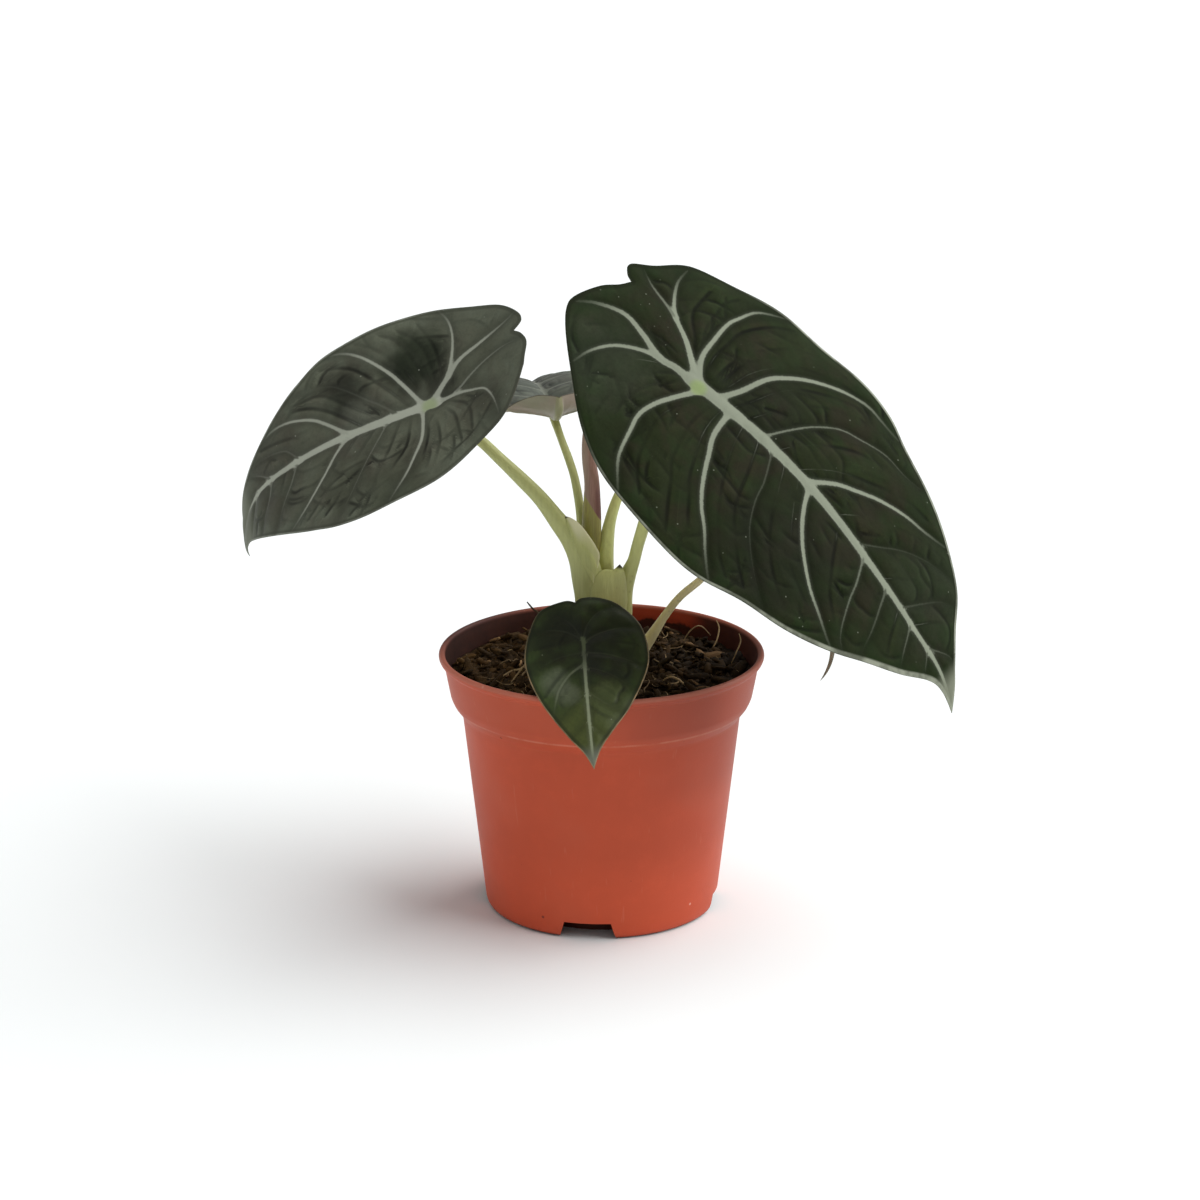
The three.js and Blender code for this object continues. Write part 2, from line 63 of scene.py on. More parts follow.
# at: where the stalk meets the blade. turn: heading, droop and roll in degrees. bend: the midrib's droop in
# degrees per mm behind the stalk, ahead of it and past hook_at. fold and curl: rise of each half beside the
# midrib, in degrees and degrees per mm. twist: degrees per mm along the midrib. wave: height and count of
# the margin's ripples. grid: rows from notch to tip and columns from midrib to margin. thin_gap: mm between
# thin veins. creases: how many loose ones. pale_from: the forward places between which its veins go from
# half to fully pale. webs: share of the widening where its veins meet. own_finish: used in place of finish.
# straight: 1 where the stalk doesn't first turn square to the blade. A blade with no right_edge has its left
# one mirrored.
BLADES = {
    "right": dict(
        at=(33.9, -32, 204.4), turn=(-22.5, 38, 27.5), bend=(-0.235, 0.128, 0.645), hook_at=96,
        fold=1, curl=-0.17, twist=0.01, wave=(0.5, 5), grid=(250, 66), finish="blade_dark",
        thin_gap=8, creases=90,
        midrib=[(-44, 12), (-20, 5), (0, 0), (75, 0), (151, -1)],
        left_edge=[
            (-47, 13), (-49, 17), (-43, 25), (-34, 38.5), (-17, 48), (-1, 54), (18, 55.5), (37, 57),
            (54, 55), (66, 50), (85, 42), (103, 33), (116, 25), (126, 15), (136, 8), (143, 4.2)],
        right_edge=[
            (-46, 7), (-50, 0), (-53, -11), (-52, -17), (-46, -24), (-34, -34), (-19, -45), (-3, -53),
            (12, -56.5), (31, -57.5), (48, -56), (65, -50), (82, -44.5), (99, -36), (111, -27),
            (123, -17), (133, -6.5), (140, -2.6)]),
    "left": dict(
        at=(-61.9, 0, 189.9), turn=(166, 22, -47), bend=(-0.39, 0.25, 0.85), hook_at=63,
        fold=8, curl=-0.11, twist=-0.1, wave=(0.4, 5), grid=(200, 50), finish="blade_grey",
        thin_gap=7, creases=60,
        midrib=[(-39, -15), (-17, -7), (0, 0), (40, -1.5), (75, -1), (92, 1), (99, 6), (101, 11),
                (98, 18.5)],
        left_edge=[
            (-42, -12.5), (-44, -8), (-42, -2), (-38.5, 9), (-33, 18.5), (-25, 24.5), (-11, 31),
            (5, 35.5), (23, 36.5), (41, 35), (53, 31.5), (66, 26.5), (79, 21), (89, 16.5), (96, 13.8),
            (99.6, 14.5)],
        right_edge=[
            (-43, -17.5), (-41.5, -22), (-34, -28.5), (-22, -33), (-5, -37.5), (11, -38.5), (27, -37),
            (41, -35), (52, -29.5), (65, -22), (76, -15.5), (87, -9), (96, -4), (102, 1), (103, 7),
            (102, 13)]),
    "front": dict(
        at=(-6.4, -45, 114.4), turn=(-85, 39, 9), bend=(0.06, 0.18, 0), hook_at=41,
        fold=-7.5, curl=-0.16, twist=0.06, wave=(0.2, 4), grid=(110, 34), finish="blade_young",
        thin_gap=6.5, creases=10, pale_from=(2, 24), webs=0.25,
        midrib=[(-18, -2), (0, 0), (50.5, 0)],
        left_edge=[(-19.5, 1), (-19.3, 7), (-16, 14), (-7, 21), (6, 23), (17, 20), (28, 14), (36, 8),
                   (43, 3)],
        right_edge=[(-19.3, -6), (-17, -15), (-9, -19.5), (1, -22), (10, -21), (19, -18), (28, -13.5),
                    (37, -8), (44, -3)]),
    "back": dict(
        at=(-17.9, 30, 180), turn=(102, -19, -1), bend=(-6, 0.8, 0.5), hook_at=50,
        fold=22, curl=-1.5, twist=0, wave=(0.6, 6), grid=(130, 36), finish="blade_dark",
        thin_gap=6, creases=20, own_finish="blade_back", straight=1,
        midrib=[(-18, 0), (0, 0), (74, 0)],
        left_edge=[(-18.5, 3), (-18.5, 9), (-14, 18), (-3, 25), (12, 27), (28, 24), (44, 16.5),
                   (58, 8), (67, 2.5)],
        right_edge=[(-18.5, -3), (-18.5, -9), (-14, -18), (-3, -24), (12, -26), (28, -23.5),
                    (44, -16.5), (58, -8), (67, -2.5)]),
    "low": dict(
        at=(58.5, 5, 148), turn=(5, 56, 0), bend=(-0.2, 0.1, 2.4), hook_at=46,
        fold=4, curl=-0.2, twist=0, wave=(0.3, 4), grid=(120, 32), finish="blade_dark",
        thin_gap=6, creases=20,
        midrib=[(-15, 0), (0, 0), (73, 0)],
        left_edge=[(-19, 4), (-18, 12), (-9, 19.5), (5, 22.5), (20, 20), (34, 14), (46, 7.5), (57, 4.4),
                   (66, 2.3)]),
    "rear": dict(
        at=(20.5, 30, 173), turn=(66, 14, -6), bend=(-0.3, 0.3, 0.7), hook_at=42,
        fold=5, curl=-0.3, twist=0, wave=(0.5, 5), grid=(120, 32), finish="blade_dark",
        thin_gap=6, creases=20,
        midrib=[(-13, 0), (0, 0), (76, 0)],
        left_edge=[(-17, 4), (-17, 11), (-9, 18.5), (5, 23), (20, 22.5), (35, 18), (49, 11), (61, 4.5),
                   (69, 1.6)]),
}

# Veins of the three blades that face the front: half width at the midrib and at the margin, how pale the
# vein is from 0 to 1, then places. Each side is listed from the tip back to the notch.
VEINS = {
    "right": dict(
        midrib=[(2.5, 0.45, 1, [(-4, 1), (8, 2), (24, 3.5), (44, 4), (64, 3.3), (85, 1), (106, -1),
                                (119, -1), (135, 0.3), (151, -1)])],
        left=[
            (0.2, 0.1, 0.3, [(124, 0), (128, 4), (132, 7), (136, 7.5)]),
            (0.3, 0.1, 0.15, [(106, 0), (110, 8), (114, 15), (119, 20)]),
            (0.3, 0.1, 0.15, [(78, 2), (84, 8), (92, 16), (102, 22), (113, 26)]),
            (0.9, 0.4, 1, [(50, 4), (58, 13), (65, 18), (73, 23), (83, 27), (92, 29), (101, 32)]),
            (0.38, 0.15, 0.6, [(28, 4), (33, 15), (38, 24), (45, 32), (53, 36), (63, 40), (73, 40),
                               (80, 41)]),
            (1.1, 0.4, 0.96, [(7, 2), (11, 12), (14, 24), (18, 31), (25, 39), (35, 46), (45, 50), (55, 50),
                               (62, 50)]),
            (1.05, 0.3, 1, [(-1, 2), (-7, 11), (-9, 21), (-10, 31), (-9, 37), (-6, 46), (3, 54)]),
            (1.4, 0.3, 1, [(-1, 1), (-14, 11), (-24, 16), (-29, 21), (-33, 28), (-34, 35)]),
            (0.6, 0.2, 0.6, [(-24, 16), (-30, 17), (-38, 18), (-44, 20)])],
        right=[
            (0.2, 0.1, 0.3, [(124, -1), (127, -4), (130, -7)]),
            (0.35, 0.15, 0.35, [(112, -1), (115, -6), (118, -11), (121, -15)]),
            (0.4, 0.15, 0.3, [(97, -1), (100, -8), (104, -17), (107, -26)]),
            (0.4, 0.15, 0.5, [(83, 1), (88, -9), (91, -17), (97, -28), (103, -33)]),
            (0.85, 0.35, 1, [(52.5, 3), (56, -4), (60.5, -10.5), (66, -16.5), (72, -21.5), (78.5, -26),
                              (86, -29.5), (98, -35)]),
            (0.3, 0.1, 0.2, [(34, 3), (40, -9), (43, -18), (49, -28), (60, -38), (72, -46)]),
            (1.05, 0.35, 1, [(14, 2), (16, -10), (20, -18), (25, -27), (31, -35), (38, -41), (44, -47),
                            (52, -54)]),
            (1, 0.35, 1, [(1, -1), (-3, -10), (-6, -18), (-7, -26), (-5, -33), (-2, -42), (1, -47),
                          (8, -55)]),
            (0.8, 0.35, 0.92, [(-17, -2), (-24, -6), (-31, -13), (-35, -22), (-36, -30)]),
            (1.65, 0.4, 0.95, [(0, 0), (-10, 0), (-17, -2), (-28, 0), (-37, 0), (-46, -6), (-51, -12)])]),
    "left": dict(
        midrib=[(1.75, 0.32, 1, [(-3, -0.5), (14, -0.6), (43, -1.5), (69, -1), (86, 0), (98, 5), (101, 11),
                               (98, 18.5)])],
        left=[
            (0.28, 0.13, 0.4, [(84, -1), (87, 5), (90, 10), (92, 14)]),
            (0.36, 0.13, 0.3, [(74, -1), (76, 6), (80, 12), (83, 18)]),
            (0.4, 0.17, 0.25, [(60, -1), (63, 6), (68, 13), (73, 21)]),
            (0.6, 0.3, 0.85, [(35, -1), (41, 4), (47, 11), (54, 18), (59, 22), (65, 26)]),
            (0.32, 0.13, 0.25, [(17, -1), (21, 5), (27, 13), (35, 24), (43, 33)]),
            (0.72, 0.3, 0.85, [(3, 1), (3, 8), (4, 14), (8, 22), (11, 27), (18, 35)]),
            (0.64, 0.17, 0.8, [(-2, 0), (-11, -1), (-17, 0), (-23, 2), (-27, 8), (-30, 17)]),
            (0.4, 0.13, 0.4, [(-11, -2), (-22, -8), (-32, -11), (-41, -11)])],
        right=[
            (0.28, 0.13, 0.25, [(74, -1), (79, -5), (85, -8)]),
            (0.32, 0.17, 0.15, [(58, -1), (63, -7), (69, -9), (76, -10), (82, -10)]),
            (0.68, 0.3, 0.85, [(34, -1), (44, -10), (50, -14), (59, -17), (67, -17.5), (74, -16)]),
            (0.4, 0.17, 0.1, [(13, -1), (19, -7), (25, -12), (33, -19), (39, -23), (47, -25), (57, -26)]),
            (0.8, 0.3, 0.9, [(2.4, -1), (9.4, -12), (14.4, -19), (23, -28), (30.5, -33), (38, -35)]),
            (0.64, 0.26, 0.8, [(-9, -9), (-12, -18), (-13, -25), (-12, -31), (-9, -36)]),
            (1.12, 0.21, 0.85, [(-1, -1), (-10, -10), (-15, -14), (-24, -17), (-34, -20), (-40, -22)])]),
    "front": dict(
        midrib=[(0.62, 0.4, 1, [(-2, -0.3), (0, 0), (20, -0.3), (50.5, 0)])],
        left=[
            (0.15, 0.1, 0.05, [(33, 0), (36, 3), (38, 6)]),
            (0.15, 0.1, 0.1, [(20, 0), (25, 6), (29, 12)]),
            (0.2, 0.1, 0.1, [(10, 0), (13, 8), (20, 17)]),
            (0.35, 0.1, 0.25, [(4, 0), (5, 8), (8, 16), (11, 21)]),
            (0.35, 0.1, 0.25, [(-1, 1), (-4, 6), (-6, 13), (-6, 20)]),
            (0.3, 0.1, 0.2, [(-2, 0), (-8, 2), (-13, 6), (-16, 12)])],
        right=[
            (0.15, 0.1, 0.05, [(30, 0), (34, -4), (37, -7)]),
            (0.2, 0.1, 0.1, [(20, 0), (24, -6), (29, -11)]),
            (0.5, 0.3, 0.55, [(9, -1), (12, -6), (17, -10), (21, -11.5), (27, -13)]),
            (0.35, 0.1, 0.15, [(4, 0), (4, -8), (6, -15), (9, -20)]),
            (0.35, 0.1, 0.2, [(-2, -1), (-6, -6), (-8, -12), (-8, -18)]),
            (0.3, 0.1, 0.15, [(-3, -1), (-9, -4), (-14, -9)])]),
}

# Stalks: knots of (x, y, z, radius) from the crown up to the blade.
CROWN_TOP = 86.3
STALKS = {
    "left": [
        (-3.5, -3.5, CROWN_TOP, 4.6), (-3.8, -4, 100, 5.2), (-4.2, -4.3, 117, 5.6),
        (-5.2, -4.5, 126, 5.7), (-6.8, -4.5, 133.5, 5.2), (-10.5, -4.3, 141, 4.3),
        (-15.5, -4, 147.5, 3.4), (-22.3, -3, 156.3, 2.8), (-29.5, -2, 163.5, 2.5),
        (-36.8, -1, 170.4, 2.2), (-43.5, 0.5, 176.5, 2), (-51.5, 3, 181.8, 1.9)],
    "right": [
        (5.5, -1, CROWN_TOP, 4), (6.6, -1.3, 110, 4.4), (7.3, -1.6, 120, 4.1), (9.2, -2, 126, 3.2),
        (11.7, -3, 132.5, 2.3), (13, -4, 138, 2.25), (14.8, -6, 145, 2.3), (19.2, -13, 162, 2.2),
        (26.1, -21.5, 183, 2)],
    "back": [
        (-7, 4.5, CROWN_TOP, 2.2), (-7.6, 5.5, 110, 2), (-7.9, 6.5, 132, 1.9), (-7.5, 7, 145, 1.7),
        (-9.7, 11, 159.2, 1.55), (-11.9, 15, 165.7, 1.5), (-14.5, 20, 171.5, 1.4)],
    "front": [
        (1.5, -9.3, CROWN_TOP, 1.6), (1.2, -10.5, 97, 1.5), (-0.6, -15, 106, 1.4),
        (-2.8, -23, 111.5, 1.3), (-4.6, -32, 112, 1.2)],
    "low": [
        (10, 4.5, CROWN_TOP, 2.2), (11.4, 5, 90.5, 2.4), (14.8, 6, 95.6, 2.5), (18.4, 7, 100.6, 2.1),
        (23.4, 8, 108.2, 1.55), (28.9, 8, 115.4, 1.45), (37.4, 8, 123, 1.4), (46, 6.5, 134.5, 1.3)],
    "rear": [
        (4, 5, CROWN_TOP, 2.4), (2.8, 2.5, 110, 2.7), (1.7, 0.5, 124, 3.1), (1.4, 2, 131, 3.1),
        (1.9, 4.3, 138, 2.7), (3.3, 8, 145, 2.15), (6, 12.2, 152.5, 1.8), (10.8, 18.5, 160.5, 1.6)],
}
NEW_LEAF = [
    (-1.5, 4, CROWN_TOP, 3), (-2.5, 3.4, 110, 3.3), (-3.5, 3, 131, 3.2), (-3.5, 2.8, 146.6, 3.15),
    (-3.45, 3, 154, 2.85), (-3.7, 3, 161.4, 2.6), (-4.7, 3.3, 169, 2.35), (-5.1, 3.6, 176, 1.95),
    (-4.6, 4.3, 185, 1.25), (-3.8, 5, 192.7, 0.45)]

# Thin edges of the left stalk's sheath, at its side and in front: the inner and outer curve of each from foot
# to tip, how far it bows to the front and how pale its free edge is.
SHEATHS = {
    "left": dict(
        inner=[(-3.1, -9.9, 125.8), (-5.6, -9.8, 130.3), (-8.2, -9.4, 135.5), (-10.3, -8.8, 141),
               (-12.1, -7.5, 146.2), (-13.1, -5, 149.9)],
        outer=[(-3.1, -9.9, 125.8), (-0.7, -6.4, 134.6), (-2, -6.4, 138.9), (-4.9, -6, 143.4),
               (-8.2, -5.5, 147.4), (-11.1, -5.2, 149.4), (-13.1, -5, 149.9)],
        bulge=0.3, pale=1),
    "front": dict(
        inner=[(1.5, -8.6, 86), (-2.8, -9.2, 92), (-3.5, -9.8, 105), (-4, -9.95, 118), (-4.2, -9.9, 123.5),
               (-3.4, -9.5, 126.5), (-1.8, -8.6, 128.8), (0.2, -7.4, 130.2), (2.2, -6.5, 130.2),
               (4.2, -5.9, 129.8), (6.8, -6, 132)],
        outer=[(1.5, -8.6, 86), (6.2, -4.9, 92), (7.2, -5.6, 105), (9.3, -5.9, 116.2), (9.3, -5.8, 121.5),
               (8.9, -6.2, 126.2), (8.2, -6.6, 129.7), (6.8, -6, 132)],
        bulge=0.8, pale=0.15),
}

# The pot's wall as (radius, height, size of the rounding there). POT_SIDE goes up the outside, over the lip
# and down inside. FOOT and FLOOR are its foot and the edge of its floor, plain and where a notch is cut.
# COLLAR_STEP is the height of the step under its collar, and FLOOR_TOP that of its floor. NOTCH holds the
# foot's notches: how many, the turn to one in degrees, their height, half widths and inner radius, how much
# of the wall covers them, and the height below which the inside follows them. DRAIN is the round-ended slot
# over each. The pot's corners stay crisp from CRISP_FROM degrees between faces.
POT_SIDE = [
    (43.6, 6.6, 0), (51.3, 74.1, 0.5), (51.6, 75, 0.4), (54.4, 78.5, 0.5), (55.6, 81.1, 1), (57.3, 90, 1.5),
    (57.9, 93.8, 0.6), (59.5, 95, 0.5), (60, 96.2, 0.5), (59.5, 97.3, 0.4), (58.6, 97.6, 0.4),
    (57.8, 97.1, 0.4), (56.5, 94, 1), (54.2, 81.3, 1), (53.15, 79.3, 0.8), (50.5, 75.9, 0.8),
    (49.95, 73.9, 0.8), (42.4, 9, 0)]
FLOOR_TOP = 1.4
FOOT = [(32.5, 0), (36, 0), (39.6, 0), (41.2, 0.15), (42.2, 0.7), (42.9, 1.8), (43.25, 3.2), (43.45, 5)]
FOOT_NOTCHED = [(32.5, 0), (32.5, 2), (32.5, 4), (32.5, 6.1), (32.9, 6.5), (36, 6.5), (40, 6.5), (43.4, 6.5)]
FLOOR = [(42.1, 6.8), (41.7, 4.4), (41, 2.6), (40, 1.7), (38.6, FLOOR_TOP), (34, FLOOR_TOP),
         (31.2, FLOOR_TOP)]
FLOOR_NOTCHED = [(42.1, 8.2), (41.7, 7.75), (39, 7.75), (36, 7.75), (31.7, 7.75), (31.2, 7.3),
                 (31.2, FLOOR_TOP)]
COLLAR_STEP = 78.5
NOTCH = dict(count=4, turn=-96.9, height=6.5, half_top=8.6, half_bottom=10.45, inner=32.5, wall=1.25,
             followed=40)
DRAIN = dict(radius=35.5, depth=2.6, width=9, bottom=3, top=10.5)
CRISP_FROM = 38

# The soil: its level, the radius of its top, and its side down the pot's wall as (radius, height).
SOIL_LEVEL = 89.6
SOIL_RADIUS = 55.4
SOIL_SIDE = [(54.5, 85), (53.8, 81.2), (52.7, 79.2), (50.1, 75.8), (49.5, 73.8), (41.9, 9), (0, 9)]

# Roots and a twig that lie where they are seen: knots, radius and lightness.
ROOTS = [
    ([(-27.7, 20, 109.8), (-25.5, 20.2, 107), (-22.9, 20, 104.7), (-19.5, 18, 99), (-17, 15, 91)],
     0.55, 0.05),
    ([(-22.9, 20, 104.7), (-20.5, 21, 106), (-18, 21.5, 104.5), (-15, 21, 98)], 0.3, 0.3),
    ([(22, -17, 91), (25, -18.5, 93), (28, -20, 92.5), (30.5, -22.5, 91)], 0.45, 0.95),
    ([(-37, -15, 91.5), (-33, -12, 93), (-29, -9.5, 93.5), (-26.5, -7, 97)], 0.45, 0.9),
    ([(-33, -19, 91), (-30, -14, 93.4), (-28.5, -10, 94), (-24, -8, 92)], 0.4, 0.8),
    ([(-31, -22, 91), (-29, -17, 93), (-27, -12, 93.6), (-25, -11, 92.4)], 0.32, 0.7),
    ([(41, 20, 91), (43, 22, 94), (44, 25, 98), (43, 27, 100.5)], 0.3, 0.75),
    ([(30, 26, 91), (33, 27, 96), (37, 28, 98), (41, 28.5, 94)], 0.28, 0.6),
    ([(48, 4, 91), (50, 6, 95), (51.5, 9, 98), (51, 12, 100)], 0.28, 0.7),
    ([(16, 27, 91), (18, 29, 96), (21, 30, 97), (25, 29, 91.5)], 0.26, 0.5)]

CROSS_GAP = 6.5         # mm between cross veins
WEB_SPREAD = 0.7        # mm over which veins that meet run into each other
REACH = 30              # mm from a vein past which it isn't looked at
FAR = 99.0              # mm that stand for such a vein
EDGE_START = 0.82       # turns round the new leaf's foot to its free edge
EDGE_CLIMB = 0.55       # turns that the edge takes on its way to the tip

# Relief of a blade's upper face, in shares of its puff: the height and the reach in mm of each rise beside a
# vein, the depth of creases, the height of bumps, and the level at which the panels neither rise nor sink.
RISES = [(0.5, 4.5), (0.35, 1.2)]
GROOVES = 0.75
BUMPS = 0.22
LEVEL = 0.35

# How noise scrambles the place of a corner of space.
NOISE_MIX = np.array([127.1, 311.7, 74.7])
NOISE_GAIN = 43758.5453

# ---------------------------------------------------------------- curves and noise


def spline(knots, count, even=True):
    """count points spaced evenly along a smooth curve through the knots.

    Between two knots it is the cubic whose end slopes come from the knots on either side, over steps of
    one knot each, or with even=False over steps of the square root of the knots' distances.
    """
    knots = np.asarray(knots, float)
    if even:
        padded = np.concatenate([knots[:1], knots, knots[-1:]])
        steps = np.ones(len(padded) - 1)
    else:
        padded = np.concatenate([2 * knots[:1] - knots[1:2], knots, 2 * knots[-1:] - knots[-2:-1]])
        steps = np.sqrt(np.linalg.norm(np.diff(padded[:, :3], axis=0), axis=1))
    share = np.linspace(0, len(knots) - 1, 48 * (len(knots) - 1) + 1)
    k = np.minimum(share.astype(int), len(knots) - 2)
    s = (share - k)[:, None]
    before, start, end, after = (padded[k + i] for i in range(4))
    d0, d1, d2 = (steps[k + i][:, None] for i in range(3))
    leave = d1 * ((start - before) / d0 - (end - before) / (d0 + d1) + (end - start) / d1)
    arrive = d1 * ((end - start) / d1 - (after - start) / (d1 + d2) + (after - end) / d2)
    dense = (start * (2 * s**3 - 3 * s**2 + 1) + leave * (s**3 - 2 * s**2 + s)
             + end * (3 * s**2 - 2 * s**3) + arrive * (s**3 - s**2))
    gaps = np.linalg.norm(np.diff(dense[:, :3], axis=0), axis=1)
    travelled = np.concatenate([[0], np.cumsum(gaps)])
    wanted = np.linspace(0, travelled[-1], count)
    return np.stack([np.interp(wanted, travelled, column) for column in dense.T], -1)


def round_angles(count):
    """That many angles evenly round a circle, from 0."""
    return np.linspace(0, 2 * np.pi, count, endpoint=False)


def about_axis(radius, angle, height):
    """Points round the vertical axis: the radius times the angle's cosine and sine, and the height."""
    return np.stack(np.broadcast_arrays(radius * np.cos(angle), radius * np.sin(angle), height), -1)


def soft_step(value, low, high):
    """0 below low and 1 above high, on the cubic 3x^2 - 2x^3 between them."""
    x = np.clip((value - low) / (high - low), 0, 1)
    return x * x * (3 - 2 * x)


def noise(points, size, seed=0):
    """Smooth noise from -1 to 1 in blobs about size across.

    Each whole-numbered corner of space has a value from the fraction of a large sine, and a point's value
    is the blend of its cell's eight corners.
    """
    p = np.asarray(points, float) / size + 13.7 * seed
    cell = np.floor(p)
    part = p - cell
    part = part * part * (3 - 2 * part)
    total = 0
    for corner in np.ndindex(2, 2, 2):
        corner = np.array(corner)
        value = (np.sin((cell + corner) @ NOISE_MIX + seed) * NOISE_GAIN) % 1
        total = total + value * np.prod(np.where(corner == 1, part, 1 - part), axis=-1)
    return 2 * total - 1


def billow(points, size, seed=0, octaves=3):
    """Noise with finer noise on it: each octave is half as large and about half as wide."""
    return sum(noise(points, size / 2.1**i, seed + 7 * i) / 2**i for i in range(octaves))


# ---------------------------------------------------------------- meshes


def skin(grid, ends=1):
    """Faces over rows of points, each row a closed ring, with both end rows drawn together.

    grid is [copy, row, place in the ring, xyz]. An end row closes to one point, or to as many as ends
    says, each at the first place of its equal share of the ring. Returns the kept points' numbers in
    the flattened grid, the four-sided faces and the three-sided faces.
    """
    copies, rows, ring = grid.shape[:3]
    index = np.arange(copies * rows * ring).reshape(copies, rows, ring)
    for end in (0, -1):
        shares = index[:, end].reshape(copies, ends, ring // ends)
        index[:, end] = np.broadcast_to(shares[:, :, :1], shares.shape).reshape(copies, ring)
    beside = np.roll(index, -1, axis=2)
    quads = np.stack([index[:, :-1], beside[:, :-1], beside[:, 1:], index[:, 1:]], -1).reshape(-1, 4)
    closed_first = quads[:, 0] == quads[:, 1]
    closed_last = quads[:, 2] == quads[:, 3]
    triangles = np.concatenate([
        quads[closed_first & ~closed_last][:, [0, 2, 3]], quads[closed_last & ~closed_first][:, :3]])
    quads = quads[~closed_first & ~closed_last]
    used, renumbered = np.unique(np.concatenate([quads.ravel(), triangles.ravel()]), return_inverse=True)
    corners = renumbered.ravel()
    return used, corners[:quads.size].reshape(-1, 4), corners[quads.size:].reshape(-1, 3)


def volume_sign(points, quads, triangles):
    """Above 0 when the faces look outwards: the sum of their corner-triple products."""
    fans = np.concatenate([triangles, quads[:, :3], quads[:, [0, 2, 3]]])
    a, b, c = (points[fans[:, i]] for i in range(3))
    return (a * np.cross(b, c)).sum()


def placed(name, data):
    """A new object with that data, in the scene."""
    made = bpy.data.objects.new(name, data)
    bpy.context.scene.collection.objects.link(made)
    return made


def add_piece(name, grid, finish, ends=1, replaces=(), fields=None):
    """A smooth closed piece over a grid of points in mm, with named fields carried on its points."""
    if grid.ndim == 3:
        grid = grid[None]
    used, quads, triangles = skin(grid, ends)
    points = grid.reshape(-1, 3)[used] * MM
    one = quads.max() + 1 if grid.shape[0] == 1 else None
    if volume_sign(points - points.mean(0), quads[:one], triangles[:one]) < 0:
        quads, triangles = quads[:, ::-1], triangles[:, ::-1]
    mesh = bpy.data.meshes.new(name)
    mesh.vertices.add(len(points))
    mesh.vertices.foreach_set("co", points.astype(np.float32).ravel())
    corners = np.concatenate([quads.ravel(), triangles.ravel()])
    starts = np.concatenate([np.arange(len(quads)) * 4, quads.size + np.arange(len(triangles)) * 3])
    mesh.loops.add(len(corners))
    mesh.loops.foreach_set("vertex_index", corners.astype(np.int32))
    mesh.polygons.add(len(starts))
    mesh.polygons.foreach_set("loop_start", starts.astype(np.int32))
    mesh.polygons.foreach_set("use_smooth", np.ones(len(starts), bool))
    for field, values in (fields or {}).items():
        kind, key = ("FLOAT_VECTOR", "vector") if values.shape[-1] == 3 else ("FLOAT", "value")
        values = values.reshape(math.prod(grid.shape[:3]), -1)[used]
        layer = mesh.attributes.new(field, kind, "POINT")
        layer.data.foreach_set(key, values.astype(np.float32).ravel())
    mesh.update(calc_edges=True)
    mesh.validate()
    mesh.materials.append(finish)
    piece = placed(name, mesh)
    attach(piece, "root")
    if replaces:
        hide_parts(*replaces)
    return piece


def ring_frames(path):
    """Two directions square to a path at each of its points, turned as little as they can be."""
    tangent = np.gradient(path, axis=0)
    tangent /= np.linalg.norm(tangent, axis=1, keepdims=True)
    across = np.zeros_like(path)
    start = np.array([1.0, 0, 0]) if abs(tangent[0, 0]) < 0.9 else np.array([0, 1.0, 0])
    for i, direction in enumerate(tangent):
        start = start - direction * (start @ direction)
        start = start / np.linalg.norm(start)
        across[i] = start
    return across, np.cross(tangent, across)


def tube(knots, rows, ring, shape=lambda share, angle: 1):
    """A rod along a smooth path through knots of (x, y, z, radius).

    A point is the path's point plus its two square directions times the cosine and sine of the angle,
    times the radius and the shape's share of it. Both ends close on the path itself.
    """
    path = spline(knots, rows, even=False)
    across, upward = ring_frames(path[:, :3])
    angle = round_angles(ring)[None, :, None]
    share = np.linspace(0, 1, rows)[:, None, None]
    radius = path[:, None, 3:] * shape(share, angle)
    body = path[:, None, :3] + radius * (
        np.cos(angle) * across[:, None] + np.sin(angle) * upward[:, None])
    first, last = (np.broadcast_to(path[end, :3], (1, ring, 3)) for end in (0, -1))
    return np.concatenate([first, body, last])


# ---------------------------------------------------------------- shader maths


def paint(red, green, blue):
    """A colour from screen values of 0 to 255, as the linear light that a shader works in."""
    return tuple(((v / 255 + 0.055) / 1.055)**2.4 if v > 10 else v / 255 / 12.92
                 for v in (red, green, blue)) + (1.0,)


def shade(colour, factor):
    """The same colour, lighter or darker."""
    return tuple(v * factor for v in colour[:3]) + (1.0,)


def opaque(setting):
    """A colour that is set in the panel, as a shader takes it."""
    return (*setting, 1.0)


def feed(tree, inputs, values):
    """Links each wire to the socket of its key, and sets each number or colour on its socket."""
    for key, value in values.items():
        if isinstance(value, Wire):
            tree.links.new(value.socket, inputs[key])
        else:
            inputs[key].default_value = value


